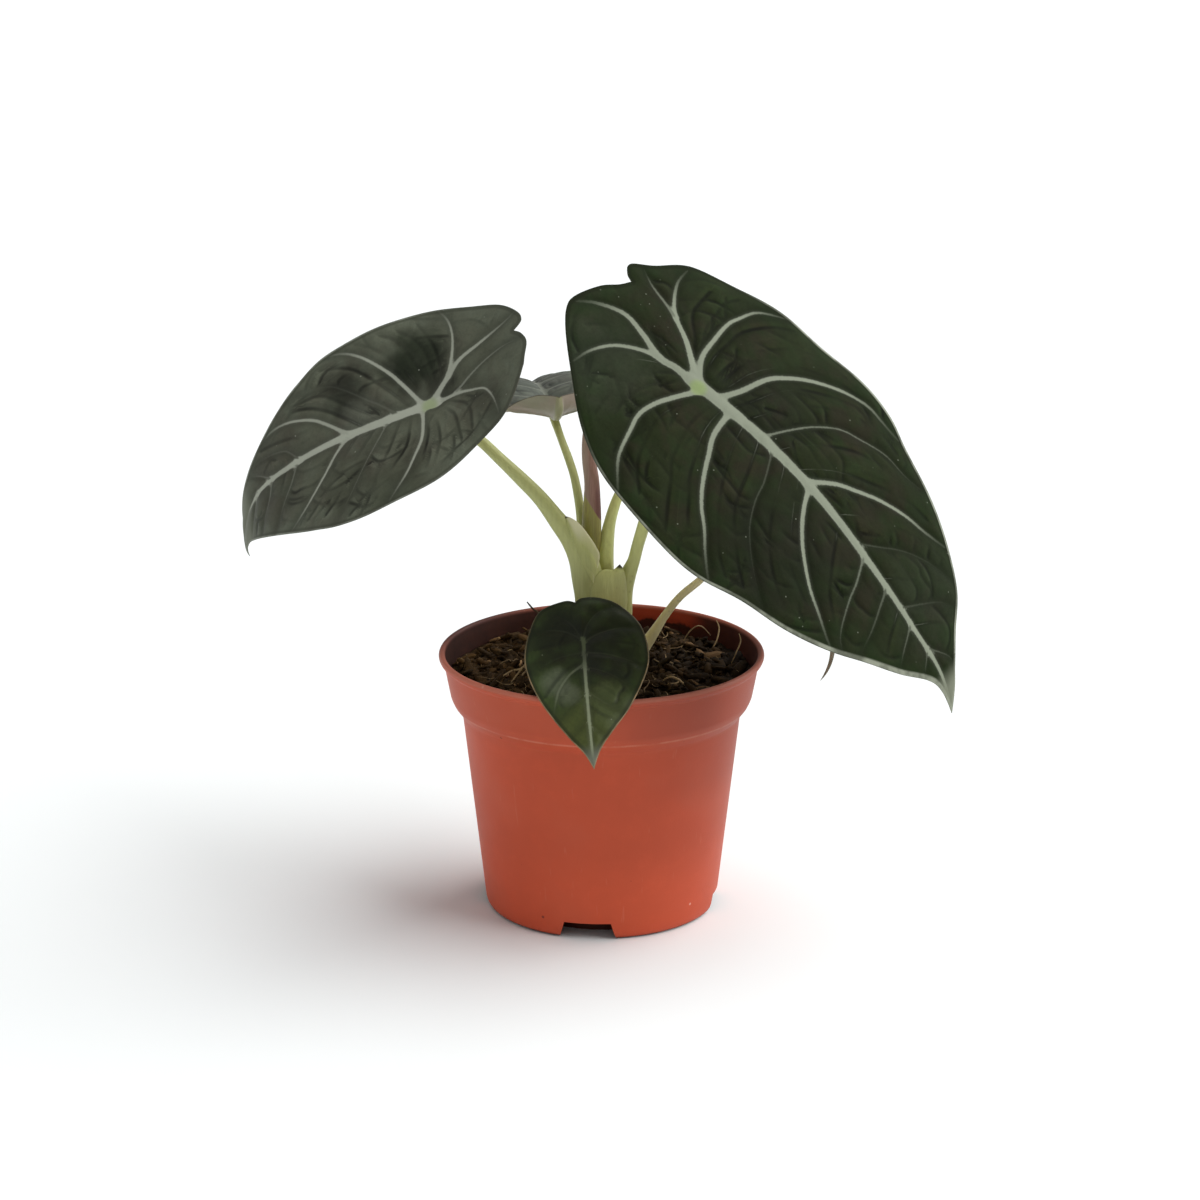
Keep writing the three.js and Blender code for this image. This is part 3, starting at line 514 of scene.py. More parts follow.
class Wire:
    """A number, vector or colour on its way through a material's nodes."""

    def __init__(self, tree, socket=None):
        self.tree = tree
        self.socket = socket

    def node(self, kind, settings=None, sockets=None, output=0):
        """A wire out of a new node: its settings are made first, then its sockets are fed."""
        made = self.tree.nodes.new(kind)
        for key, value in (settings or {}).items():
            setattr(made, key, value)
        feed(self.tree, made.inputs, sockets or {})
        return Wire(self.tree, made.outputs[output])

    def maths(self, operation, *terms):
        return self.node("ShaderNodeMath", {"operation": operation}, dict(enumerate(terms)))

    def __add__(self, other):
        return self.maths("ADD", self, other)

    def __sub__(self, other):
        return self.maths("SUBTRACT", self, other)

    def __rsub__(self, other):
        return self.maths("SUBTRACT", other, self)

    def __mul__(self, other):
        return self.maths("MULTIPLY", self, other)

    def __abs__(self):
        return self.maths("ABSOLUTE", self)

    __radd__ = __add__
    __rmul__ = __mul__

    def most(self, other):
        return self.maths("MAXIMUM", self, other)

    def wave(self):
        return self.maths("SINE", self)

    def root(self):
        return self.maths("SQRT", self)

    def above(self, low, high):
        """0 below low, 1 above high and smooth between."""
        return self.node("ShaderNodeMapRange", {"interpolation_type": "SMOOTHSTEP"},
                         {0: self, 1: low, 2: high})

    def below(self, low, high):
        return 1 - self.above(low, high)

    def blend(self, first, second):
        """The first colour where this number is 0, and the second where it is 1."""
        return self.node("ShaderNodeMix", {"data_type": "RGBA"}, {0: self, 6: first, 7: second},
                         output=2)

    def lit(self, factor):
        """This colour, lighter or darker by a factor."""
        return self.node("ShaderNodeVectorMath", {"operation": "SCALE"}, {0: self, 3: factor})

    def parts(self):
        """The three numbers of a vector."""
        split = self.node("ShaderNodeSeparateXYZ", {}, {0: self})
        return [Wire(self.tree, socket) for socket in split.socket.node.outputs]

    def scaled(self, x, y, z):
        return self.node("ShaderNodeMapping", {}, {0: self, 3: (x, y, z)})

    def grain(self, scale, detail=3.0, roughness=0.5):
        """Smooth noise from 0 to 1 over this vector."""
        return self.node("ShaderNodeTexNoise", {}, {
            "Vector": self, "Scale": scale, "Detail": detail, "Roughness": roughness})

    def cells(self, scale):
        """Distance to the nearest of many scattered points."""
        return self.node("ShaderNodeTexVoronoi", {}, {"Vector": self, "Scale": scale})

    def near(self, centre, radius):
        """1 at a point in metres, falling to 0 at the radius round it."""
        gap = self.node("ShaderNodeVectorMath", {"operation": "DISTANCE"}, {0: self, 1: centre}, output=1)
        return gap.below(0.0, radius)


def coated(colour, *coats):
    """A colour under coats in turn: how much of each, and its colour or a factor for what it covers."""
    for amount, tint in coats:
        colour = amount.blend(colour, colour.lit(tint) if isinstance(tint, float) else tint)
    return colour


class Finish:
    """A material being built: wires to start from, and the shader that they feed."""

    def __init__(self, name):
        self.material = bpy.data.materials.new(name)
        self.material.use_nodes = True
        self.tree = self.material.node_tree
        self.shader = self.tree.nodes["Principled BSDF"]
        self.start = Wire(self.tree)

    def field(self, name):
        """The vector that the mesh carries under that name."""
        return self.start.node("ShaderNodeAttribute", {"attribute_name": name}, output=1)

    def number(self, name):
        return self.start.node("ShaderNodeAttribute", {"attribute_name": name}, output=2)

    def place(self):
        """The point's place in metres."""
        return self.start.node("ShaderNodeTexCoord", output=3)

    def done(self, emboss=None, **looks):
        """The material, once each look is fed to the shader's socket of that name.

        emboss is (height wire, the depth in metres that a height of 1 stands for).
        """
        if emboss:
            looks["Normal"] = self.start.node("ShaderNodeBump", {}, {
                "Height": emboss[0], "Distance": emboss[1], "Strength": 1.0})
        feed(self.tree, self.shader.inputs, {key.replace("_", " "): look for key, look in looks.items()})
        return self.material


# ---------------------------------------------------------------- blades


def margin_knots(blade):
    """Knots of the left and the right margin, each from notch to tip."""
    left = blade["left_edge"]
    right = blade.get("right_edge") or [(forward, -sideways) for forward, sideways in left]
    notch, tip = blade["midrib"][0], blade["midrib"][-1]
    return [notch, *left, tip], [notch, *right, tip]


def plain_veins(blade):
    """Veins for a blade whose own are not listed, worked out from its outline.

    Seven a side leave the midrib one after another. Each is a parabola that sets off sideways and leans
    forward to reach the margin.
    """
    notch, tip = blade["midrib"][0], blade["midrib"][-1]
    length = tip[0]
    veins = {"midrib": [(1.1, 0.35, 1, [notch, (0, 0), (length * 0.5, 0), tip])]}
    for side, knots in zip(("left", "right"), margin_knots(blade)):
        ends = spline(knots, 101)[[84, 74, 64, 54, 43, 31, 19]]
        starts = length * np.array([0.72, 0.56, 0.4, 0.24, 0.1, -0.01, -0.04])
        s = np.linspace(0, 1, 7)[:, None]
        veins[side] = [
            (0.3 + 0.3 * (i > 1), 0.2, 0.35 + 0.5 * (i > 1), (
                (1 - s)**2 * [start, 0] + 2 * s * (1 - s) * [start + 0.3 * (end[0] - start), 0.7 * end[1]]
                + s**2 * end))
            for i, (start, end) in enumerate(zip(starts, ends))]
    return veins


def along_lines(places, lines, count=40):
    """How each place lies to the nearest of some lines, as six numbers.

    They are the signed distance, positive to the left of the line, the plain distance, the line's half
    width there, how much the lines beside it widen it, which comes from blending the gaps to all of them
    softly, the share of the line's length, and its strength.
    """
    near = np.full((len(places), 6), FAR)
    best = np.full(len(places), 1e9)
    crowd = np.zeros(len(places))
    for start_width, end_width, strength, knots in lines:
        line = spline(knots, count)
        close = (abs(places - line.mean(0)).max(1) < REACH + abs(line - line.mean(0)).max()).nonzero()[0]
        if not len(close):
            continue
        each = np.arange(len(close))
        step = np.diff(line, axis=0)
        away = places[close, None] - line[None, :-1]
        s = np.clip((away * step).sum(-1) / (step**2).sum(-1), 0, 1)
        away = away - s[..., None] * step
        gap = np.sqrt((away**2).sum(-1))
        k = gap.argmin(1)
        gap, away, step = gap[each, k], away[each, k], step[k]
        share = (k + s[each, k]) / (count - 1)
        half = start_width + (end_width - start_width) * share
        side = np.sign(step[:, 0] * away[:, 1] - step[:, 1] * away[:, 0])
        nearer = gap - half < best[close]
        best[close] = np.where(nearer, gap - half, best[close])
        found = np.stack([side * gap, gap, half, 0 * gap, share, strength + 0 * gap], -1)
        near[close] = np.where(nearer[:, None], found, near[close])
        crowd[close] += np.exp(-np.clip(gap - half, -2, 30) / WEB_SPREAD)
    near[:, 3] = np.clip(WEB_SPREAD * np.log(np.maximum(crowd, 1e-9)) + best, 0, 1.5)
    return near


def between_veins(side_veins, spacing, rng):
    """Thin veins between each pair of listed neighbours, about that many mm apart at their middles.

    Each is a weighted mean of the two, swayed by smooth noise that grows from nothing at the midrib.
    """
    thin = []
    lines = [spline(knots, 24) for _, _, _, knots in side_veins]
    for first, second in zip(lines, lines[1:]):
        count = int(round(np.linalg.norm(first[14] - second[14]) / spacing))
        for j in range(1, count):
            share = (j + rng.uniform(-0.25, 0.25)) / count
            line = first * (1 - share) + second * share
            spot = np.append(line, 0 * line[:, :1], axis=1)
            seed = rng.integers(99)
            sway = np.stack([noise(spot, 11, seed), noise(spot, 13, seed + 1)], -1)
            line = line + 2.0 * sway * np.linspace(0, 1, len(line))[:, None]
            thin.append((0.05, 0.02, rng.uniform(0.35, 1), line[::3]))
    return thin


def cross_veins(side_veins, spacing, rng):
    """Short bowed lines from each listed vein to the next, about that many mm apart along them.

    A line's middle is pushed towards the margin by a fifth of its length, more or less, and its two ends
    lie at slightly different shares of the two veins.
    """
    crossing = []
    lines = [spline(knots, 41) for _, _, _, knots in side_veins]
    for first, second in zip(lines, lines[1:]):
        length = np.linalg.norm(np.diff((first + second) / 2, axis=0), axis=1).sum()
        count = int(length / spacing)
        for j in range(1, count):
            share = (j + rng.uniform(-0.3, 0.3)) / count
            start, end = (line[int(np.clip(share + shift, 0, 1) * 40)]
                          for line, shift in zip((first, second), rng.uniform(-0.05, 0.05, 2)))
            outward = (first[-1] + second[-1] - first[0] - second[0])
            outward = outward / np.linalg.norm(outward) * np.linalg.norm(end - start)
            knots = [start]
            for at in (0.25, 0.5, 0.75):
                bow = 4 * at * (1 - at) * rng.uniform(0.12, 0.3)
                knots.append(start + (end - start) * at + outward * bow + rng.uniform(-0.5, 0.5, 2))
            crossing.append((0.03, 0.03, rng.uniform(0.1, 0.85), knots + [end]))
    return crossing


def loose_creases(margin, count, rng):
    """Short creases scattered inside a margin, each within 40 degrees of the way out from the stalk."""
    creases = []
    for middle in margin[rng.integers(len(margin), size=count)] * rng.uniform(0.2, 0.9, (count, 1)):
        heading = math.atan2(middle[1], middle[0]) + rng.uniform(-0.7, 0.7)
        reach = rng.uniform(2.5, 6.5)
        along = reach * np.array([math.cos(heading), math.sin(heading)])
        bow = rng.uniform(-0.25, 0.25) * along[::-1] * [1, -1]
        creases.append((0.03, 0.03, rng.uniform(0.3, 0.95), [middle - along, middle + bow, middle + along]))
    return creases


def blade_places(blade):
    """Flat places over a blade, [row, column, (forward, sideways)].

    The midrib and both margins are spaced evenly from notch to tip. A row runs straight from the left
    margin to the midrib and on to the right margin, with its last step at each margin a short one.
    """
    rows, columns = blade["grid"]
    share = np.append(np.linspace(0, 0.985, columns), 1)[:, None]
    midrib = spline(blade["midrib"], rows)[:, None]
    margins = (spline(knots, rows)[:, None] for knots in margin_knots(blade))
    halves = [midrib * (1 - share) + margin * share for margin in margins]
    flat = np.concatenate([halves[0][:, ::-1], halves[1][:, 1:]], axis=1)
    across = np.concatenate([share[::-1, 0], -share[1:, 0]])
    return flat, np.broadcast_to(across, flat.shape[:2])


def arc(length, turn):
    """Travel along an arc that turns by turn for each mm: how far on, how far down, the angle turned."""
    turn = turn or 1e-9
    return np.sin(turn * length) / turn, (1 - np.cos(turn * length)) / turn, turn * length


def blade_axes(blade):
    """Forward along the midrib at the stalk, to the left, and up out of the upper face."""
    heading, droop, roll = np.radians(blade["turn"])
    forward = np.array([np.cos(heading) * np.cos(droop), np.sin(heading) * np.cos(droop), -np.sin(droop)])
    level = np.array([-np.sin(heading), np.cos(heading), 0])
    upright = np.cross(forward, level)
    return forward, level * np.cos(roll) + upright * np.sin(roll), \
        upright * np.cos(roll) - level * np.sin(roll)


def blade_surface(blade, flat, rise):
    """The blade's middle face.

    The midrib is three arcs in a row: behind the stalk, ahead of it, and past hook_at. Each half leaves
    the midrib at the fold angle and curls on as an arc, and the section twists along the midrib.
    """
    forward, left, up = blade_axes(blade)
    back, ahead, hook = np.radians(blade["bend"])
    along, sideways = flat[..., 0], flat[..., 1]
    back_run, back_drop, back_turn = arc(np.minimum(along, 0), back)
    run, drop, turn = arc(np.clip(along, 0, blade["hook_at"]), ahead)
    hook_run, hook_drop, hook_turn = arc(np.maximum(along - blade["hook_at"], 0), hook)
    x = back_run + run + hook_run * np.cos(turn) - hook_drop * np.sin(turn)
    z = -back_drop - drop - hook_run * np.sin(turn) - hook_drop * np.cos(turn)
    slope = back_turn + turn + hook_turn
    fold, curl, twist = np.radians([blade["fold"], blade["curl"], blade["twist"]])
    angle = fold + curl * abs(sideways)
    across = np.sign(sideways) * (np.sin(angle) - np.sin(fold)) / curl
    height = (np.cos(fold) - np.cos(angle)) / curl + rise
    y = across * np.cos(twist * along) - height * np.sin(twist * along)
    h = across * np.sin(twist * along) + height * np.cos(twist * along)
    return (np.array(blade["at"]) + forward * (x + h * np.sin(slope))[..., None]
            + left * y[..., None] + up * (z + h * np.cos(slope))[..., None])


def surface_normals(surface):
    """Upward directions of a grid whose columns run from left to right; an end row takes its neighbour's."""
    normal = np.cross(np.gradient(surface, axis=1), np.gradient(surface, axis=0))
    normal[0], normal[-1] = normal[1], normal[-2]
    return normal / np.maximum(np.linalg.norm(normal, axis=-1, keepdims=True), 1e-9)


def blade_mesh(name, settings, finish):
    """One blade: a puffed upper face, a ribbed lower one, and the fields that its colours follow.

    Between the veins the upper face rises by one share that grows slowly from the main veins and another
    that grows fast from any vein, each as 1 - exp(-distance / reach). The lower face follows it, less a
    thickness that thins to the margin and half-round ribs under the veins.
    """
    blade = BLADES[name]
    flat, across = blade_places(blade)
    shape = flat.shape[:2]
    places = flat.reshape(-1, 2)
    forward, sideways = flat[..., 0], flat[..., 1]
    veins = VEINS.get(name) or plain_veins(blade)
    sides = veins["left"], veins["right"]
    listed = veins["midrib"] + veins["left"] + veins["right"]
    rng = np.random.default_rng(len(name))
    thin = [vein for side in sides for vein in between_veins(side, blade["thin_gap"], rng)]
    cross = [vein for side in sides for vein in cross_veins(side, CROSS_GAP, rng)]
    cross += loose_creases(np.concatenate([flat[:, 0], flat[:, -1]]), blade["creases"], rng)

    def nearest(lines, count=40):
        return np.moveaxis(along_lines(places, lines, count).reshape(*shape, 6), -1, 0)

    signed, plain, width, web, share, strength = nearest(listed)
    thin_signed, thin_plain, _, _, thin_share, thin_depth = nearest(thin, 16)
    cross_signed, cross_plain, _, _, _, cross_depth = nearest(cross, 9)
    rim = rim_distance(flat)

    u = np.linspace(0, 1, shape[0])[:, None]
    wave_height, waves = blade["wave"]
    rise = wave_height * across**2 * np.sin(2 * np.pi * waves * u - across) * np.sin(np.pi * u)
    middle = blade_surface(blade, flat, rise)
    normal = surface_normals(middle)

    web = web * blade.get("webs", 1)
    main_gap = np.maximum(plain - width - web, 0)
    inner = soft_step(rim, 0, 5)
    spot = np.stack([forward, sideways, 0 * across], -1)
    from_heart = np.hypot(forward, sideways)
    thin_depth = (thin_depth * np.clip(0.5 + 1.1 * noise(spot, 12, seed=4), 0, 1.25)
                  * soft_step(from_heart, 5, 18))
    cross_depth = (cross_depth * np.clip(0.45 + 1.1 * noise(spot, 8, seed=9), 0, 1.2)
                   * soft_step(main_gap, 0, 2))
    grooves = np.maximum(thin_depth * np.exp(-thin_plain / 1.5), cross_depth * np.exp(-cross_plain / 1.2))
    height = (sum(rise_share * (1 - np.exp(-main_gap / reach)) for rise_share, reach in RISES)
              - GROOVES * grooves + BUMPS * billow(spot, 7, seed=len(name)) * soft_step(main_gap, 0, 3))
    puff = settings.puff / MM * inner
    half = settings.thickness / MM / 2 * (0.35 + 0.65 * soft_step(rim, 0, 4))
    ridge = np.sqrt(np.clip(1 - (plain / (width + 0.1))**2, 0, 1)) * soft_step(rim, 0, 6)
    rib = width * 1.1 * np.sqrt(np.clip(1 - (plain / (width * 1.3 + 0.2))**2, 0, 1)) * soft_step(rim, 0, 6)
    lift = puff * (height - LEVEL)
    top = middle + normal * (half + lift + 0.14 * width * ridge)[..., None]
    bottom = middle + normal * (lift - half - rib)[..., None]
    glow = strength * (1 - 1.1 * (1 - strength) * share)
    on_midrib = nearest(listed[:1])[1] <= plain + 1e-6
    glow = glow * np.where(on_midrib, 1, 1 - 0.9 * soft_step(share, 0.6, 1))
    if "pale_from" in blade:
        glow = glow * (0.5 + 0.5 * soft_step(forward, *blade["pale_from"]))

    def carried(*numbers):
        upper = np.stack(np.broadcast_arrays(*numbers), -1)
        return np.concatenate([upper, upper[:, ::-1]], axis=1)

    place = carried(forward, sideways, 1.0)
    place[:, shape[1]:, 2] = 0
    fields = {
        "place": place,
        "vein": carried(signed, plain, width + web),
        "edge": carried(rim, blade["midrib"][-1][0] - forward, glow),
        "thin": carried(thin_signed, thin_plain, thin_depth),
        "cross": carried(cross_signed, cross_plain, cross_depth),
        "relief": carried(height, thin_share, 0),
    }
    return add_piece("leaf_" + name, np.concatenate([top, bottom[:, ::-1]], axis=1), finish,
                     ends=2, replaces=["blade_" + name], fields=fields)


def rim_distance(flat):
    """Distance of each flat place from the nearer margin, in rows of the grid to keep it quick."""
    margins = np.concatenate([flat[:, 0], flat[:, -1]])
    return np.stack([
        np.sqrt(((row[:, None] - margins[None])**2).sum(-1)).min(-1) for row in flat])


# Patches on a blade, some of painted shade and sheen and some of its own tone: forward, sideways, radius, how
# strong, colour.
SHADE_AND_TONE_PATCHES = {
    "blade_dark": [(62, -26, 30, 0.55, paint(22, 26, 16)), (-30, -22, 26, 0.35, paint(54, 60, 48)),
                   (112, 12, 26, 0.3, paint(46, 54, 40)), (20, 12, 24, 0.3, paint(26, 28, 22))],
    "blade_grey": [(4, -19, 17, 0.95, paint(36, 42, 30)), (32, -18, 13, 0.75, paint(38, 41, 32)),
                   (-5, -6, 9, 0.6, paint(42, 45, 36)), (-22, 14, 16, 0.4, paint(62, 66, 52)),
                   (14, 31, 18, 0.5, paint(58, 62, 46)), (36, 19, 15, 0.4, paint(62, 64, 50)),
                   (28, -5, 11, 0.4, paint(104, 108, 96)), (72, 0, 26, 0.35, paint(70, 70, 58))],
    "blade_young": [(36, 0, 24, 0.85, paint(82, 90, 44)), (18, -13, 14, 0.8, paint(72, 88, 46)),
                    (26, 9, 12, 0.7, paint(76, 86, 50)), (14, -11, 7, 0.6, paint(112, 118, 98)),
                    (20, -7, 6, 0.5, paint(108, 112, 94)), (-6, -8, 12, 0.5, paint(22, 28, 8)),
                    (-6, 10, 14, 0.5, paint(26, 32, 12))],
}

# How far from its tip a blade turns pale: all of it, and none of it.
TAILS = {"blade_dark": (9.0, 18.0)}
# Width in mm, swell towards the tip and colour of a blade's pale margin, where it isn't a darker
# shade of its veins.
RIMS = {
    "blade_young": (0.6, 0.0, paint(186, 154, 114)), "blade_dark": (1.1, 0.5, paint(146, 150, 134)),
    "blade_grey": (0.8, 0.0, paint(140, 144, 130))}
# How much paler veins fade round the heart of a blade.
HUSHED = {"blade_young": 0.5}


def blade_finish(name, panel, brown, fresh, vein, contrast, gloss, roughness):
    """A velvety blade: dark puffed panels between pale veins, greener to the margin, greyer underneath.

    Its panels are of the first colour with patches of the next two, and the veins of the fourth, with
    contrast for how strongly they stand out.
    """
    finish = Finish(name)
    flat = finish.field("place")
    forward, sideways, face = flat.parts()
    signed, plain, width = finish.field("vein").parts()
    rim, to_tip, glow = finish.field("edge").parts()
    height, thin_share, _ = finish.field("relief").parts()
    from_heart = forward * forward + sideways * sideways
    glow = glow * (1 - from_heart.below(9.0, 150.0) * HUSHED.get(name, 0.0))

    patches = flat.grain(0.045, 3.0, 0.55)
    clouds = flat.grain(0.1, 3.0, 0.6)
    fine = flat.grain(0.8, 4.0, 0.65)
    ragged = flat.grain(1.5, 2.0, 0.7)
    slack = width.below(0.3, 1.1) * 0.45
    gap = abs(signed).most(plain - slack) - width + (ragged - 0.5) * (1.7 * contrast - 1.1)
    pale = gap.below(-0.3, 0.3) * glow
    haze = gap.below(0.0, 1.3) * glow

    def crease(field, shade_to, lit_from, lit_to):
        """How far a line is, the painted shade in its crease and the painted light on the slope to its left.
        """
        signed, plain, depth = finish.field(field).parts()
        gap = abs(signed).most(plain - 0.5) + (fine - 0.5) * 0.5
        lit_side = signed.above(0.4, lit_from) * signed.below(lit_from, lit_to) * depth
        return gap, gap.below(0.1, shade_to) * depth, lit_side

    thin_gap, thin_shade, thin_lit = crease("thin", 1.1, 1.2, 3.4)
    _, cross_shade, cross_lit = crease("cross", 1.0, 1.1, 3.0)
    # dark is the painted shade along the creases.
    dark = thin_shade.most(cross_shade)
    hollow_shade = height.below(0.15, 0.7)
    spur = (thin_gap.below(0.02, 0.32) * gap.below(1.5, 8.0) * thin_share.below(0.1, 0.5)
            * clouds.above(0.42, 0.55) * from_heart.above(90.0, 300.0))
    speck = flat.cells(0.2).below(0.03, 0.075) * flat.grain(0.05, 1.0).above(0.48, 0.55)
    tail = to_tip.below(*TAILS.get(name, (3.0, 11.0)))
    thick, swell, edge_tint = RIMS.get(name, (0.9, 0.0, shade(vein, 0.7)))
    spread = rim * (1 - forward.above(0.0, 120.0) * sideways.below(-4.0, 4.0) * swell)
    edging = spread.below(thick * 0.6, thick) * forward.above(-25.0, 15.0)

    def patch(along, across, size, amount):
        """How much of a patch shows: its amount in the middle, and nothing past its cloudy edge."""
        apart = ((forward - along) * (forward - along) + (sideways - across) * (sideways - across)
                 + (clouds - 0.5) * size * size * 1.2)
        return apart.below(0.0, size * size) * amount

    upper = coated(
        panel,
        (patches.above(0.44, 0.62) * 0.8, brown),
        (rim.below(1.0, 14.0) * 0.5 + clouds.above(0.45, 0.66) * 0.6, fresh),
        *((patch(*where), tint) for *where, tint in SHADE_AND_TONE_PATCHES.get(name, ())),
        # Painted shade in the hollows and creases, painted light on the ridges and on the lit side of each
        # crease.
        (hollow_shade * 0.55, 0.55),
        (height.above(0.62, 1.05) * 0.4, 1.6),
        (fine.above(0.42, 0.7) * 0.3, 0.55),
        (thin_lit.most(cross_lit) * 0.55, 1.9),
        (dark * 0.8, 0.25),
        (spur * max(0.0, 2.0 * contrast - 1.6), shade(vein, 0.55)),
        (speck * 0.6 * contrast, shade(vein, 0.8)),
        (haze * 0.2 * contrast, shade(vein, 0.4)),
        (pale * (0.96 * contrast), vein),
        (from_heart.below(1.0, 18.0) * pale * 0.5 * contrast, paint(130, 154, 72)),
        (rim.below(1.1, 2.0) * 0.5, shade(panel, 0.45)),
        (tail, paint(112, 116, 100)),
        (edging * (0.35 + clouds.above(0.4, 0.62) * 0.5), edge_tint),
        (rim.below(0.1, 0.3) * 0.5, shade(vein, 0.3)))
    under = coated(
        patches.above(0.35, 0.65).blend(paint(172, 156, 146), paint(150, 148, 128)),
        (gap.below(-0.3, 0.4) * 0.6, paint(160, 166, 116)),
        # Painted shade in the creases and hollows of the lower face too.
        (dark * 0.35, paint(110, 102, 84)),
        (hollow_shade * 0.25, paint(132, 130, 104)),
        (rim.below(0.15, 0.6) * 0.8, paint(70, 62, 50)),
        (tail * 0.8, paint(148, 150, 132)))
    return finish.done(
        emboss=(flat.grain(2.0, 2.0, 0.6) * 0.3 + fine * 0.5, 0.00014), Specular_IOR_Level=gloss,
        Base_Color=face.above(0.4, 0.6).blend(under, upper), Roughness=roughness - pale * 0.1)


# ---------------------------------------------------------------- stalks and the new leaf


def stalk_knots(name):
    """A stalk's knots with two more that bring it square on to the underside of its blade."""
    blade = BLADES[name]
    up = blade_axes(blade)[2]
    radius = STALKS[name][-1][3]
    ends = [(*(np.array(blade["at"]) - up * below), radius * wide) for below, wide in ((5, 1), (1.3, 1.15))]
    return STALKS[name] + ends[blade.get("straight", 0):]


def stalk_mesh(name, finish):
    """A stalk: a rod through its knots, ribbed lengthwise by three small sines of angle and share.

    Its sheath field is 0 all over, because it has no free edge.
    """

    def ribs(share, angle):
        return (1 + 0.018 * np.sin(7 * angle + 3 * share) + 0.02 * np.sin(3 * angle + 9 * share)
                + 0.012 * np.sin(40 * share + 2 * angle))

    grid = tube(stalk_knots(name), 150, 40, ribs)
    return add_piece("petiole_" + name, grid, finish, replaces=["stalk_" + name],
                     fields={"sheath": np.zeros_like(grid)})


def membrane(name, finish):
    """A thin sheath edge between two curves that meet at both ends, bowed towards the front.

    A row goes straight from one curve to the other, pushed forward by the sine of its share. The field
    holds the share across it, the share up it, and how pale its free edge is.
    """
    sheath = SHEATHS[name]
    rows, columns = 60, 14
    a, b = (spline(sheath[curve], rows)[:, None] for curve in ("inner", "outer"))
    share = np.linspace(0, 1, columns)[:, None]
    sheet = a * (1 - share) + b * share
    sheet = sheet + np.array([0, -sheath["bulge"], 0]) * np.sin(np.pi * share)
    normal = surface_normals(sheet)
    half = 0.22 - 0.12 * share[None]
    both = np.concatenate([sheet + normal * half, (sheet - normal * half)[:, ::-1]], axis=1)
    rim = np.concatenate([share[:, 0], share[::-1, 0]]) + np.zeros((rows, 1))
    run = np.linspace(0, 1, rows)[:, None] + 0 * rim
    return add_piece("sheath_" + name, both, finish, ends=2,
                     fields={"sheath": np.stack([rim, run, 0 * rim + sheath["pale"]], -1)})


def stalk_finish(settings):
    """Smooth pale green, streaked lengthwise, browner and speckled towards the soil."""
    finish = Finish("stalk")
    place = finish.place()
    x, y, height = place.parts()
    across, up, pale = finish.field("sheath").parts()
    green = opaque(settings.green)
    streaks = place.scaled(1, 1, 0.12).grain(900.0, 3.0, 0.6)
    patches = place.grain(70.0, 3.0)
    low = height.below(0.094, 0.138)
    core = low * abs(x - 0.002).below(0.003, 0.009) * height.above(0.095, 0.118)
    # Painted light on the low stalk that stands in the big leaf's shadow.
    lifted_in_shade = x.above(0.0125, 0.015) * y.above(0.001, 0.003) * height.below(0.14, 0.155)
    specks = place.cells(420.0).below(0.08, 0.3) * patches.above(0.45, 0.6)
    skin_colour = coated(
        green,
        (streaks.above(0.35, 0.7) * 0.5, shade(green, 0.8)),
        (height.above(0.15, 0.19) * 0.35, shade(green, 1.08)),
        (low * 0.85 * patches.above(0.15, 0.55), paint(156, 148, 72)),
        (core * (0.45 + patches.above(0.4, 0.6) * 0.45), paint(138, 112, 54)))
    colour = coated(
        # Painted light: the stalks are lighter to the right of the crown, where the big leaf shades them, and
        # darker to the left.
        skin_colour.lit(0.9 + x.above(-0.006, 0.003) * 0.42 - x.above(0.003, 0.012) * 0.14),
        (lifted_in_shade * 0.9, paint(240, 224, 172)),
        (specks * (low + 0.12) * 0.6, paint(96, 74, 48)),
        (pale * across.above(0.3, 0.95) * 0.5, paint(206, 202, 156)),
        (pale.above(0.5, 0.9) * up.above(0.5, 0.8) * across.above(0.1, 0.5) * 0.6, paint(226, 222, 190)),
        (pale * across.above(0.86, 0.97) * 0.6, paint(224, 218, 180)),
        (pale.above(0.05, 0.14) * up.above(0.95, 0.985), paint(58, 54, 34)))
    return finish.done(
        emboss=(streaks, 0.0002), Specular_IOR_Level=0.4,
        Base_Color=colour, Roughness=0.42 + patches * 0.16)


def new_leaf_mesh(finish):
    """The rolled new leaf: a tapering rod whose radius steps down once round, at its free edge.

    The step climbs round the rod from the foot to the tip, so the edge shows as a long spiral.
    """
    rows, ring = 170, 48

    def rolled(share, angle):
        turned_by = (angle / (2 * np.pi) + EDGE_START - EDGE_CLIMB * share) % 1
        return 1 + 0.17 * (1 - turned_by) * soft_step(share, 0.05, 0.2) * soft_step(turned_by, 0, 0.025)

    grid = tube(NEW_LEAF, rows, ring, rolled)
    share = np.linspace(0, 1, rows + 2)[:, None, None]
    turned_by = (np.linspace(0, 1, ring, endpoint=False)[:, None] + EDGE_START - EDGE_CLIMB * share) % 1
    return add_piece("rolled_leaf", grid, finish, replaces=["new_leaf"],
                     fields={"past_edge": turned_by})


